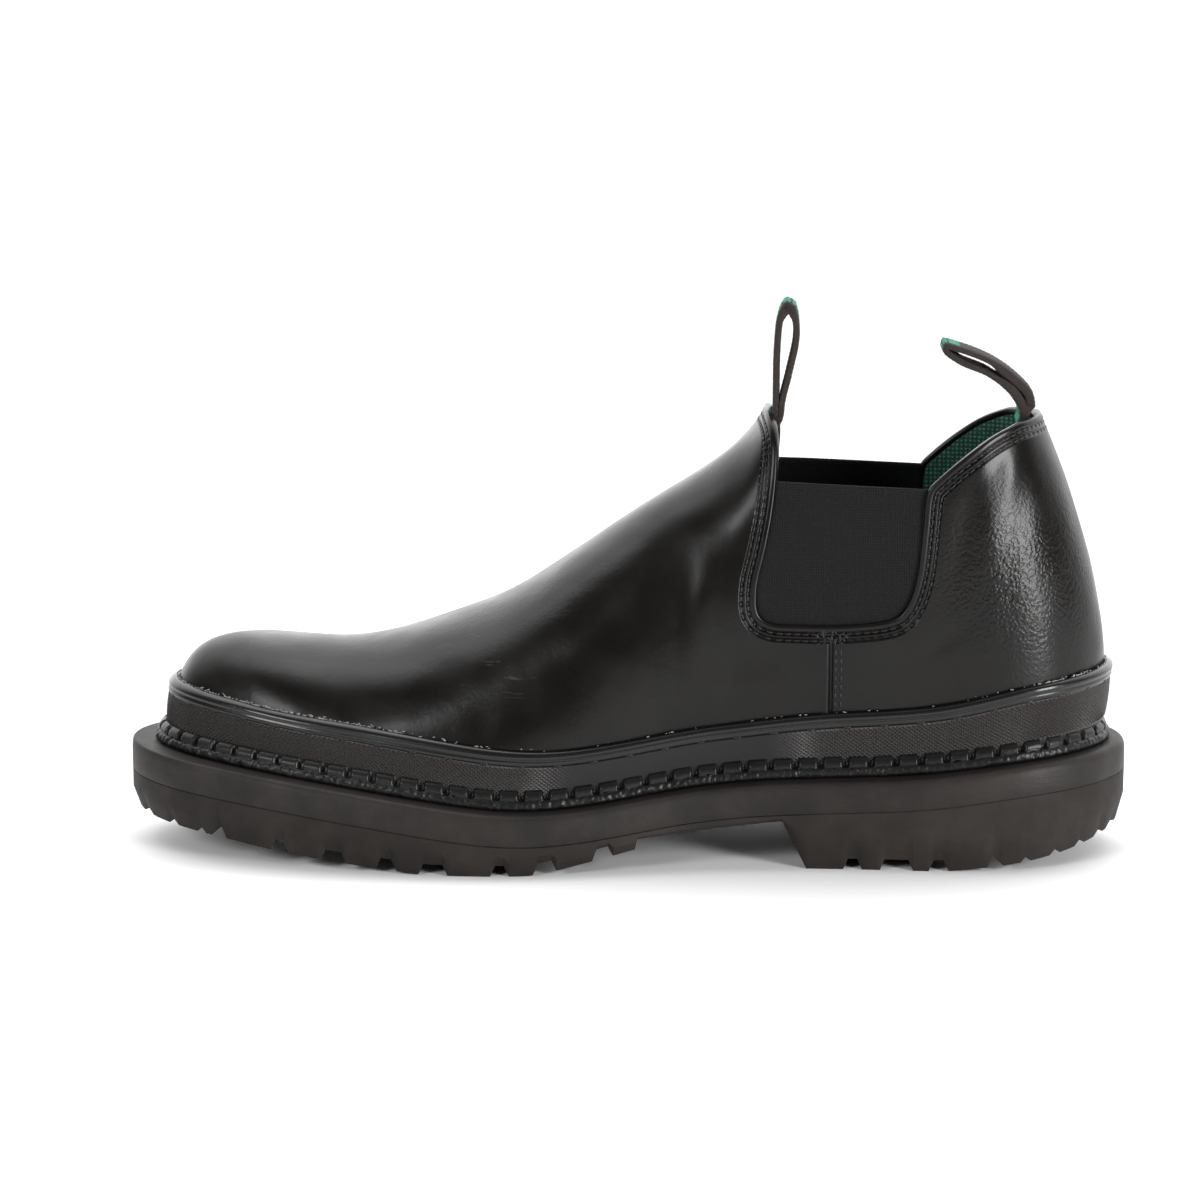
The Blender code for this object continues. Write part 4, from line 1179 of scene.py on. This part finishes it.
# %% [markdown]
# Round the foot run the rand, the welt and the sole. Each is a profile of heights and offsets
# carried round the feather line. Even steps along the ground give the knurl and the stitches a
# true pitch.

# %% Rings round the foot
FINE_SHARE = np.linspace(0, 1, 161)


def even_turns(side, spacing, offset=0.002):
    """Turn values at even steps along the feather line of one side, an odd count of them."""
    fine = np.linspace(0, 1, 3001)
    plan, normal = feather(fine, side)
    walk = walked(plan + offset * normal)
    count = 2 * round(walk[-1] / spacing / 2) + 1
    return np.interp(np.linspace(0, walk[-1], count), walk, fine)


def on_wall(turn, heights, offsets, side):
    """Points on the last at heights above its foot, moved outward in plan by offsets."""
    curves = wall(turn, FINE_SHARE, side)
    _, normal = feather(turn, side)
    made = np.empty((*heights.shape, 3))
    for row, curve in enumerate(curves):
        for axis in range(3):
            made[row, :, axis] = np.interp(curve[0, 2] + heights[row], curve[:, 2], curve[:, axis])
    made[..., :2] += offsets[..., None] * normal[:, None]
    return made


def beside(turn, offsets, lifts, side):
    """Points beside the feather line: offset in plan, and lifted over the ledge's height there."""
    plan, normal = feather(turn, side)
    flat = plan[:, None] + offsets[..., None] * normal[:, None]
    return np.concatenate([flat, (ledge_height(flat[..., 0]) + lifts)[..., None]], axis=-1)


def round_foot(make, spacing):
    """One closed round from a function of (turn, side), medial from toe to heel and lateral back."""
    medial, lateral = (make(even_turns(side, spacing), side) for side in (MEDIAL, LATERAL))
    return np.concatenate([medial, lateral[-2:0:-1]])


print("round the foot in even steps of 5 mm:", len(even_turns(MEDIAL, 0.005)), "on the medial side")

# %% [markdown]
# The rand is a rubber band pressed with a fine diamond knurl, faded to plain rubber at the waist.
# A diamond lattice is a half-pitch grid with every second point raised, if each cell is split
# along its valley. The bead over it is a rounded strip with a groove along its middle.

# %% Rand and bead
KNURL_ALONG = 0.00074
KNURL_UP = 0.00057
KNURL_ROWS = 22
KNURL = 0.00042
BEAD = steady_cubic(
    (0.00, 0.06, 0.20, 0.34, 0.42, 0.50, 0.62, 0.76, 0.88, 0.96, 1.00),
    (0.00, 0.45, 0.74, 0.76, 0.62, 0.84, 1.00, 0.92, 0.55, 0.10, -0.60),
)
BEAD_SHARES = np.linspace(0, 1, 17)


def rand_section(turn, side):
    """Plain foot, knurled face, bead, and the inner face down again, as heights and offsets."""
    top = rand_height(turn)[:, None]
    base = top - BEAD_HEIGHT
    skin_offset = RAND + GAP
    rows = np.arange(KNURL_ROWS, -1, -1) * KNURL_UP
    knurl = base - rows[None]
    plain = np.minimum(base - KNURL_ROWS * KNURL_UP - 0.0004, 0.0 * top) * np.ones((1, 1))
    bead_rows = base + BEAD_HEIGHT * BEAD_SHARES[1:]
    heights = np.concatenate([plain, knurl, bead_rows, top, 0.6 * top, 0.2 * top], axis=1)
    plan, _ = feather(turn, side)
    x = plan[:, :1]
    shown = 1 - smoothstep(*KNURL_FADE[:2], x) * (1 - smoothstep(*KNURL_FADE[2:], x))
    column = np.arange(len(turn))[:, None]
    level = np.arange(KNURL_ROWS + 1)[None]
    raised = ((column + level) % 2 == 0) * shown * KNURL
    raised = raised * (level > 0) * (level < KNURL_ROWS)
    face = skin_offset + raised
    bead = skin_offset + BEAD_DEPTH * BEAD(BEAD_SHARES[1:]) + 0 * top
    inner = np.full((len(turn), 3), GAP)
    offsets = np.concatenate([np.full((len(turn), 1), skin_offset), face, bead, inner], axis=1)
    return on_wall(turn, heights, offsets, side)


rand_grid = round_foot(rand_section, KNURL_ALONG)
rings, levels, _ = rand_grid.shape
closed_grid = wrapped(wrapped(rand_grid, 1), 0)
corner = quads(*closed_grid.shape[:2])
cell_level = np.tile(np.arange(levels), rings)
cell_ring = np.repeat(np.arange(rings), levels)
in_knurl = (cell_level >= 1) & (cell_level < 1 + KNURL_ROWS)
even = (cell_ring + cell_level - 1) % 2 == 0
faces = corner[~in_knurl].tolist()
smooth = [True] * len(faces)
finish = [int(level > KNURL_ROWS) for level in cell_level[~in_knurl]]
SPLITS = ((even, ((0, 1, 3), (1, 2, 3))), (~even, ((0, 1, 2), (0, 2, 3))))
for valley, picks in SPLITS:
    chosen = in_knurl & valley
    for pick in picks:
        faces += corner[chosen][:, list(pick)].tolist()
        smooth += [False] * int(chosen.sum())
        finish += [0] * int(chosen.sum())
rand = new_piece(
    "rand_band", bent(closed_grid.reshape(-1, 3)), faces, [rand_rubber, bead_rubber],
    smooth=np.array(smooth), slots=finish)
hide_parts("rand")

# %% [markdown]
# The bead shows a few stitch marks in its groove, and dried cement has squeezed out above it, most
# at the toe and a little at the heel. Both are small templates strewn along a line round the foot.

# %% Stitch marks and cement along the bead
MARK_PITCH = 0.0112
LINE_STEP = 0.0008
FLECKS = 2600


def line_round(height, offset):
    """A line on the last round the foot, from heights above its foot as a function of the turn."""
    def make(turn, side):
        return on_wall(turn, height(turn)[:, None], np.full((len(turn), 1), offset), side)

    return round_foot(make, LINE_STEP)[:, 0]


def along_ring(path, path_walk, at):
    """Point, direction, outward and up vectors at a walk along a closed round."""
    closed_path = wrapped(path, 0)
    point = read_along(at, path_walk, closed_path)
    ahead = read_along((at + 0.001) % path_walk[-1], path_walk, closed_path)
    direction = unit(ahead - point)
    outward = unit(np.cross(direction, (0.0, 0.0, 1.0)))
    return point, direction, outward, np.cross(outward, direction)


line = line_round(lambda turn: rand_height(turn) - 0.93 * BEAD_HEIGHT, RAND + GAP + 0.0004)
line_walk = walked(wrapped(line, 0))
at = np.arange(0, line_walk[-1] - MARK_PITCH / 2, MARK_PITCH)
point, direction, outward, up = along_ring(line, line_walk, at)
frames = np.stack([1.25 * MM * direction, 0.40 * MM * outward, 0.42 * MM * up], axis=1)
marks = copies("bead_stitches", stitch, stitch_faces, bent(point), frames, [thread_finish])

crest = line_round(lambda turn: rand_height(turn) + 0.0001, 0.0009)
crest_walk = walked(wrapped(crest, 0))
at = draw.uniform(0, crest_walk[-1], FLECKS)
spot, *_ = along_ring(crest, crest_walk, at)
at_toe = 1 - smoothstep(-0.105, -0.030, spot[:, 0])
at_heel = smoothstep(0.115, 0.135, spot[:, 0])
dense = 0.06 + 0.90 * at_toe + 0.60 * at_heel
at = at[draw.uniform(0, 1, len(at)) < dense * 0.62]
point, direction, outward, up = along_ring(crest, crest_walk, at)
count = len(at)
long = draw.uniform(0.25, 1.0, count) ** 2 * 0.9 * MM
high = draw.uniform(0.10, 0.36, count) * MM
point = point + draw.uniform(-0.35, 0.75, (count, 1)) ** 3 * 1.6 * MM * up
tilt = draw.uniform(-0.5, 0.5, (count, 1))
flake, flake_faces = pill(3, 5)
flake = flake * (1 + 0.25 * np.cos(7 * flake[:, :1] + 3))
frames = np.stack([
    long[:, None] * unit(direction + tilt * up), 0.22 * MM * outward,
    high[:, None] * unit(up - tilt * direction)], axis=1)
flecks = copies("cement_flecks", flake, flake_faces, bent(point), frames, [cement.material])

# %% [markdown]
# The welt is a strip with a rough cut edge and a rounded ridge beside the rand. Its heavy stitching
# pulls a short dark notch into the ridge at every stitch, so what is left reads as a chain of bars.
# The notches belong to the strip itself: a wave along the round pushes the ridge's levels inward.

# %% Welt
WELT_LEVELS = np.array([
    # offset in mm beyond the feather, height in mm, looseness, notch
    (2.1, 0.30, 0.0, 0.0), (3.6, 0.25, 0.2, 0.0), (5.0, 0.30, 0.8, 0.0), (5.4, 0.60, 1.0, 0.0),
    (5.5, 1.20, 1.0, 0.0), (5.4, 1.90, 1.0, 0.0), (5.2, 2.50, 1.0, 0.0), (4.9, 2.90, 0.9, 0.0),
    (4.5, 3.05, 0.6, 0.0), (4.45, 3.25, 0.2, 0.2), (4.5, 3.70, 0.1, 0.9), (4.45, 4.30, 0.1, 1.0),
    (4.15, 4.90, 0.1, 1.0), (3.75, 5.40, 0.1, 1.0), (3.3, 5.80, 0.1, 1.0), (2.75, 6.10, 0.0, 0.7),
    (2.3, 6.20, 0.0, 0.2), (2.1, 6.00, 0.0, 0.0), (2.1, 4.00, 0.0, 0.0), (2.1, 2.00, 0.0, 0.0),
])
BAR_PITCH, WELT_STEP = 0.0077, 0.00036
NOTCH_LENGTH, NOTCH_DEPTH, NOTCH_SOFT = 1.9, 1.9, 0.35
WELT_INNER = WELT_LEVELS[:, 0].min()


def welt_section(turn, side):
    """The strip's profile, with uneven steps on the cut edge and a notch once every pitch."""
    pick = np.random.default_rng(11 if side == MEDIAL else 12)
    plan, normal = feather(turn, side)
    walk = walked(plan + 0.004 * normal)
    pitch = walk[-1] / round(walk[-1] / BAR_PITCH)
    phase = np.abs((walk / pitch) % 1 - 0.5) * pitch / MM
    half = NOTCH_LENGTH / 2
    notch = 1 - smoothstep(half - NOTCH_SOFT, half + NOTCH_SOFT, pitch / MM / 2 - phase)
    rough = pick.normal(0, 1, (len(turn), len(WELT_LEVELS)))
    rough = (rough + np.roll(rough, 1, axis=0) + np.roll(rough, 2, axis=0)) / 2 * WELT_LEVELS[:, 2]
    inward = NOTCH_DEPTH * notch[:, None] * WELT_LEVELS[:, 3]
    offsets = np.maximum(WELT_LEVELS[:, 0] + 0.15 * rough - inward, WELT_INNER)
    lifts = WELT_LEVELS[:, 1] + 0.12 * np.roll(rough, 1, axis=1) - 0.35 * inward
    return beside(turn, offsets * MM, lifts * MM, side)


welt_grid = round_foot(welt_section, WELT_STEP)
welt = grid_piece("welt_strip", wrapped(wrapped(welt_grid, 1), 0), welt_rubber)
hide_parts("welt")

# %% [markdown]
# The midsole is the layer above the parting line. Its rounded upper edge stands past the welt and
# catches the light all the way round. Top and bottom are closed with strips from side to side.

# %% Midsole


def margin(turn, toe, middle, heel):
    """Overhang beyond the feather line: toe, side and heel values with soft changes between."""
    station = station_of(turn)
    front = smoothstep(0, 1, 1 - station / 0.16)
    rear = smoothstep(0, 1, (station - 0.80) / 0.20)
    return middle + (toe - middle) * front + (heel - middle) * rear


def outline(turn, offset, side):
    """The feather line of one side in plan, moved outward by the offset."""
    plan, normal = feather(turn, side)
    return plan + np.broadcast_to(offset, turn.shape)[:, None] * normal


def stacked(name, levels, finish):
    """A solid from pairs of medial and lateral lines, bottom up, closed across below and above."""
    grid = np.stack([np.concatenate([medial, lateral[-2:0:-1]]) for medial, lateral in levels], axis=1)
    shares = np.linspace(0, 1, 9)[None, :, None]
    caps = [near[:, None] * (1 - shares) + far[:, None] * shares for near, far in (levels[0], levels[-1])]
    points, faces = joined([wrapped(grid, 0), *caps])
    return new_piece(name, bent(points), faces, [finish])


turn = turns(40, 110, 40)
edge_out = margin(turn, TOE_MARGIN, SIDE_MARGIN, HEEL_MARGIN)
edge_top = margin(turn, TOE_EDGE, SIDE_EDGE, HEEL_EDGE)


def midsole_level(inward, drop):
    """Both side lines of the midsole, moved inward from its edge and down from the ledge."""
    pair = []
    for side in (MEDIAL, LATERAL):
        plan = outline(turn, edge_out - inward, side)
        pair.append(np.column_stack([plan, ledge_height(plan[:, 0]) - drop]))
    return pair


PARTING_GAP = 0.00008
levels = [
    midsole_level(0.0005, MIDSOLE - PARTING_GAP), midsole_level(0.00015, MIDSOLE - PARTING_GAP),
    midsole_level(0.0, MIDSOLE - 0.0004), midsole_level(0.0, 0.0060),
]
for angle in np.radians(np.linspace(0, 90, 11)):
    level_in = (edge_out - edge_top) * (1 - max(np.cos(angle), 0) ** 0.7)
    levels.append(midsole_level(level_in, EDGE_ROUND * (1 - np.sin(angle) ** 0.7)))
midsole = stacked("midsole_ledge", levels, midsole_rubber)
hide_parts("midsole")

# %% [markdown]
# The outsole carries the tread. A lug is a run of stations where the underside is low, and a groove
# a run where it is lifted, so one height function of the station makes the silhouette of the tread.

# %% Outsole
UNDERSIDE = np.array([
    # station, height
    (0.000, 1.00), (0.110, 0.66), (0.179, 0.40), (0.230, 0.23), (0.278, 0.10), (0.322, 0.00),
    (0.405, 0.00), (0.437, 0.12), (0.475, 0.35), (0.516, 0.61),
])
ARCH = np.array([(0.516, 0.88), (0.658, 1.29)])
HEEL_UNDERSIDE = np.array([
    # station, height
    (0.682, 0.00), (0.800, 0.00), (0.856, 0.10), (0.884, 0.19), (0.930, 0.40), (0.970, 0.65),
    (1.000, 0.88),
])
FORE_LUGS = (
    (0.093, 0.139), (0.157, 0.190), (0.216, 0.247), (0.268, 0.291),
    (0.320, 0.361), (0.379, 0.402), (0.425, 0.460), (0.481, 0.504),
)
HEEL_LUGS = ((0.692, 0.732), (0.752, 0.771), (0.806, 0.822), (0.842, 0.880))
HEEL_BREAST = 0.665
LUG_SLOPE = 0.005
NOTCHES = (0.014, 0.040, 0.068, 0.915, 0.940, 0.962, 0.980, 0.992)
NOTCH_PAD, NOTCH_SHARE = 0.0045, 0.42
# Two channels run the length of the tread, between these shares of the way across.
CHANNELS, CHANNEL_SLOPE = ((0.27, 0.35), (0.65, 0.73)), 0.01


def tread_keys():
    """Stations where the tread turns, each with 0 on a lug face and 1 at the bottom of a groove."""
    keys = [(0.0, 0.0), (1.0, 0.0)]
    for lugs in (FORE_LUGS, HEEL_LUGS):
        keys += [(station, 0.0) for lug in lugs for station in lug]
        for (_, last), (first, _) in zip(lugs, lugs[1:]):
            keys += [(last + LUG_SLOPE, 1.0), (first - LUG_SLOPE, 1.0)]
    keys += [(FORE_LUGS[0][0] - LUG_SLOPE, 1.0), (FORE_LUGS[0][0] - 3 * LUG_SLOPE, 0.0)]
    keys += [(HEEL_LUGS[-1][1] + LUG_SLOPE, 1.0), (HEEL_LUGS[-1][1] + 3 * LUG_SLOPE, 0.0)]
    for notch in NOTCHES:
        keys += [(notch, NOTCH_SHARE), (notch - NOTCH_PAD, 0.0), (notch + NOTCH_PAD, 0.0)]
    return np.array(sorted(key for key in keys if 0 <= key[0] <= 1))


keys = tread_keys()
arch_start = FORE_LUGS[-1][1] + 0.002
stations = np.concatenate([keys[:, 0], [arch_start, HEEL_BREAST], station_of(turns(30, 90, 30))])
stations = np.unique(np.round(stations, 5))
cut = np.interp(stations, keys[:, 0], keys[:, 1])
arch_share = np.interp(
    stations, (FORE_LUGS[-1][1], arch_start, HEEL_BREAST, HEEL_LUGS[0][0]), (0, 1, 1, 0))
fore_low = steady_cubic((UNDERSIDE[:, 0] - 0.5) * SOLE_LENGTH, UNDERSIDE[:, 1] * TOE_SPRING)
heel_low = steady_cubic((HEEL_UNDERSIDE[:, 0] - 0.5) * SOLE_LENGTH, HEEL_UNDERSIDE[:, 1] * TOE_SPRING)
sole_turn = turn_of(stations)
sole_margin = margin(sole_turn, TOE_MARGIN, SIDE_MARGIN, HEEL_MARGIN)


def underside(x, groove):
    """Height of the tread: the arch's slope, or the sprung sole and the flat heel, plus the groove."""
    rising = np.interp(x, (ARCH[:, 0] - 0.5) * SOLE_LENGTH, ARCH[:, 1] * TOE_SPRING)
    flat = np.where(stations < (arch_start + HEEL_BREAST) / 2, fore_low(x), heel_low(x))
    return (1 - arch_share) * flat + arch_share * rising + LUG_DEPTH * groove


def sole_level(inward, share):
    """Both side lines at a share of the way from the tread up to the parting line."""
    pair = []
    for side in (MEDIAL, LATERAL):
        low = outline(sole_turn, sole_margin - SOLE_TAPER, side)
        full = outline(sole_turn, sole_margin - inward, side)
        bottom = underside(low[:, 0], cut)
        top = ledge_height(full[:, 0]) - MIDSOLE
        plan = low + (full - low) * min(1.0, 2 * share)
        pair.append(np.column_stack([plan, bottom + share * (top - bottom)]))
    return pair


levels = [sole_level(0.0, share) for share in (0.0, 0.05, 0.25, 0.5, 0.75, 0.94)]
levels += [sole_level(0.0, 0.98), sole_level(0.0002, 1.0)]
ring_grid = wrapped(np.stack([np.concatenate([m, l[-2:0:-1]]) for m, l in levels], axis=1), 0)
near, far = levels[0]
has_tread = (arch_share == 0) & (stations > 0.05) & (stations < 0.93)
channel_keys = [(0.0, 0.0), (1.0, 0.0)]
for first, last in CHANNELS:
    channel_keys += [(first, 0.0), (first + CHANNEL_SLOPE, 1.0), (last - CHANNEL_SLOPE, 1.0), (last, 0.0)]
bottom_rows = []
for share, groove in sorted(channel_keys):
    row = near + share * (far - near)
    row[:, 2] = underside(row[:, 0], np.maximum(cut, groove * has_tread))
    bottom_rows.append(row)
bottom_grid = np.stack(bottom_rows, axis=1)
top_near, top_far = levels[-1]
top_grid = top_near[:, None] + np.linspace(0, 1, 7)[None, :, None] * (top_far - top_near)[:, None]
points, faces = joined([ring_grid, bottom_grid, top_grid])
outsole = new_piece("tread_sole", bent(points), faces, [sole_rubber])
outsole.data.set_sharp_from_angle(angle=math.radians(32))
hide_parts("outsole")

# %% [markdown]
# Inside lies a thin footbed with a cupped edge, covered in green cloth. Only its heel and the way
# into the boot can be seen, but from above it is the floor of the whole opening.

# %% Footbed
bed_turn = turns(26, 70, 26)
BED_CUP = 0.0022


def bed_row(share, lift):
    """A line from toe to heel at a share of the way across, lifted towards both edges."""
    near, far = (outline(bed_turn, -(WALL + 2 * GAP), side) for side in (MEDIAL, LATERAL))
    plan = near + share * (far - near)
    cup = BED_CUP * np.abs(2 * share - 1) ** 5
    return np.column_stack([plan, ledge_height(plan[:, 0]) + GAP + lift + cup * (lift > 0)])


across = np.linspace(0, 1, 25)
bed_top = np.stack([bed_row(share, INSOLE) for share in across], axis=1)
bed_low = np.stack([bed_row(share, 0.0) for share in across], axis=1)
edge_grid = np.stack([
    np.concatenate([rows[:, 0], rows[-2:0:-1, -1]]) for rows in (bed_low, bed_top)], axis=1)
edge_grid = wrapped(edge_grid, 0)
points, faces = joined([bed_top, bed_low, edge_grid])
bed = new_piece("footbed", bent(points), faces, [footbed_cloth])
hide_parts("insole")

# %% [markdown]
# A pull loop is a strip of webbing folded in two and sewn inside the collar. It is a rounded strip
# profile carried along the fold's outer line in side view, with the weave's ripple on its edges.

# %% Pull loops
LOOP_WIDTH = 0.020
FRONT_REACH, BACK_REACH = 0.034, 0.030
BACK_LOOP_INSET = 0.0026
RIPPLE_PITCH, RIPPLE = 0.0015, 0.022
FRONT_FOLD = np.array([
    # rearward offset and height, as shares of FRONT_REACH
    (-0.068, -0.300), (0.006, -0.170), (0.068, -0.060), (0.074, 0.150), (0.074, 0.350), (0.088, 0.710),
    (0.115, 0.880), (0.194, 1.000), (0.277, 0.955), (0.315, 0.710), (0.247, 0.320), (0.191, 0.080),
    (0.174, -0.060), (0.118, -0.170), (0.044, -0.300),
])
BACK_FOLD = np.array([
    # rearward offset and height, as shares of BACK_REACH
    (0.089, -0.353), (0.032, -0.220), (-0.018, -0.087), (-0.010, 0.000), (0.042, 0.080), (0.022, 0.190),
    (-0.138, 0.377), (-0.451, 0.577), (-0.765, 0.690), (-0.888, 0.720), (-0.918, 0.647),
    (-0.761, 0.503), (-0.448, 0.367), (-0.181, 0.130), (-0.115, -0.020), (-0.138, -0.087),
    (-0.088, -0.220), (-0.031, -0.353),
])
rising = np.linspace(ridge_walk[-1] / 2, ridge_walk[-1], 801)
throat = float(np.interp(COLLAR_HEIGHT, ridge_z(rising), ridge_x(rising)))
heel_curve = wall(np.array([1.0]), FINE_SHARE, MEDIAL)[0]
heel_top = float(np.interp(COLLAR_HEIGHT, heel_curve[:, 2], heel_curve[:, 0])) - BACK_LOOP_INSET


def webbing_loop(name, node, fold, start, reach, thickness, striped):
    """A strip's profile swept along the fold, its outer face on the line, one thickness deep.

    The stripe runs on the outer face, from the striped share of the way along to the end.
    """
    line = smooth_line(fold * reach + (start, COLLAR_HEIGHT), 150)
    walk = walked(line)
    along = unit(np.gradient(line, axis=0))
    spin = np.sign(np.cross(along[:-1], along[1:]).sum())
    inward = spin * np.stack([-along[:, 1], along[:, 0]], axis=1)
    thick = thickness((line - (start, COLLAR_HEIGHT)) / reach)
    centre = line + inward * thick[:, None] / 2
    profile = profile_ring((0, 0), (LOOP_WIDTH / 2, 0.5), 0.30, 40)
    ripple = 1 + RIPPLE * np.sin(2 * np.pi * walk / RIPPLE_PITCH)[:, None]
    grid = np.empty((len(line), len(profile), 3))
    grid[..., 1] = profile[:, 0] * ripple
    outward = -profile[:, 1] * thick[:, None] * (1 + 3 * (ripple - 1))
    grid[..., 0] = centre[:, None, 0] + outward * inward[:, None, 0]
    grid[..., 2] = centre[:, None, 1] + outward * inward[:, None, 1]
    girth = walked(wrapped(profile, 0))
    length = np.concatenate([walk[:1], walk, walk[-1:]])
    uv = np.stack(np.meshgrid(length, girth, indexing="ij"), axis=-1).reshape(-1, 2)
    made = grid_piece(name, wrapped(capped(grid), 1), webbing, uv=uv)
    place = points_of(made)
    gap = np.linalg.norm(place[:, None, [0, 2]] - centre[None], axis=2)
    pick = gap.argmin(axis=1)
    out = ((place[:, [0, 2]] - centre[pick]) * -inward[pick]).sum(axis=1)
    green = (out > 0.3 * thick[pick] / 2) * (walk[pick] > striped * walk[-1])
    paint(made, "stripe", green)
    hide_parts(node)


def front_thickness(at):
    """Thin sides and a thick turn at the top."""
    return (2.1 + 1.2 * smoothstep(0.80, 0.95, at[:, 1])) * MM


def back_thickness(at):
    """Thin round the eye, and pressed together into a thick strap towards the collar."""
    return (2.0 + 1.1 * smoothstep(-0.42, -0.24, at[:, 0])) * MM


webbing_loop("front_pull", "pull_loop_front", FRONT_FOLD, throat, FRONT_REACH, front_thickness, 0.0)
webbing_loop("back_pull", "pull_loop_back", BACK_FOLD, heel_top, BACK_REACH, back_thickness, 0.47)

# %% [markdown]
# The picture: a pale floor that runs up into a pale world, a large soft light above and behind, and
# softer ones in front, as in a catalogue studio. The camera stands a metre off, a little above.

# %% Floor, light and camera
# The world's brightness grows with backward plus UPWARD times up, between these two values.
UPWARD, DARK_UP_TO, WHITE_FROM = 0.55, 0.12, 0.88


def pale_floor(reach):
    """A plain white square, so wide that its far edge lies on the horizon."""
    mesh = bpy.data.meshes.new("floor")
    corners = [(reach * x, reach * y, 0) for x, y in ((-1, -1), (1, -1), (1, 1), (-1, 1))]
    mesh.from_pydata(corners, [], [(0, 1, 2, 3)])
    made = bpy.data.objects.new("floor", mesh)
    bpy.context.scene.collection.objects.link(made)
    mesh.materials.append(Recipe("pale_floor", (0.93, 0.93, 0.93), 0.8).material)


def soft_light(name, place, target, size, power):
    """A rectangular lamp that faces its target."""
    lamp = bpy.data.lights.new(name, "AREA")
    lamp.shape = "RECTANGLE"
    lamp.size, lamp.size_y = size
    lamp.energy = power
    made = bpy.data.objects.new(name, lamp)
    bpy.context.scene.collection.objects.link(made)
    made.location = place
    made.rotation_euler = (Vector(target) - Vector(place)).to_track_quat("-Z", "Y").to_euler()


def studio_world(bright, dim):
    """White behind and above the boot, dim towards the camera, as between white sweep and dark room."""
    world = bpy.data.worlds.new("studio")
    world.use_nodes = True
    tree = world.node_tree
    tree.nodes["Background"].inputs["Color"].default_value = (1, 1, 1, 1)
    way = tree.nodes.new("ShaderNodeTexCoord")
    split = tree.nodes.new("ShaderNodeSeparateXYZ")
    lean = tree.nodes.new("ShaderNodeMath")
    lean.operation = "MULTIPLY_ADD"
    lean.inputs[1].default_value = UPWARD
    share = tree.nodes.new("ShaderNodeMapRange")
    share.interpolation_type = "SMOOTHSTEP"
    edges = {"From Min": DARK_UP_TO, "From Max": WHITE_FROM, "To Min": dim, "To Max": bright}
    for socket, value in edges.items():
        share.inputs[socket].default_value = value
    tree.links.new(way.outputs["Generated"], split.inputs[0])
    tree.links.new(split.outputs["Z"], lean.inputs[0])
    tree.links.new(split.outputs["Y"], lean.inputs[2])
    tree.links.new(lean.outputs[0], share.inputs["Value"])
    tree.links.new(share.outputs[0], tree.nodes["Background"].inputs["Strength"])
    bpy.context.scene.world = world


pale_floor(60.0)
studio_world(2.35, 0.05)
soft_light("over", (-0.10, 0.30, 1.10), (0, 0, 0.05), (1.5, 0.5), 4)
soft_light("vamp", (-0.82, -0.95, 0.60), (-0.07, 0, 0.06), (0.5, 0.35), 8)
soft_light("heel", (1.07, -0.89, 0.30), (0.117, -0.02, 0.12), (0.42, 0.75), 25)

camera_data = bpy.data.cameras.new("camera")
camera = bpy.data.objects.new("camera", camera_data)
bpy.context.scene.collection.objects.link(camera)
camera_data.sensor_width = 36
camera_data.lens = 96.95
camera.location = (0.0526, -0.9987, 0.2570)
camera.rotation_euler = (math.radians(79.72), 0, math.radians(3.5))
bpy.context.scene.camera = camera
bpy.context.scene.view_settings.view_transform = "Standard"
print("camera", round(camera.location.length, 3), "m from the origin, lens", round(camera_data.lens, 2), "mm")
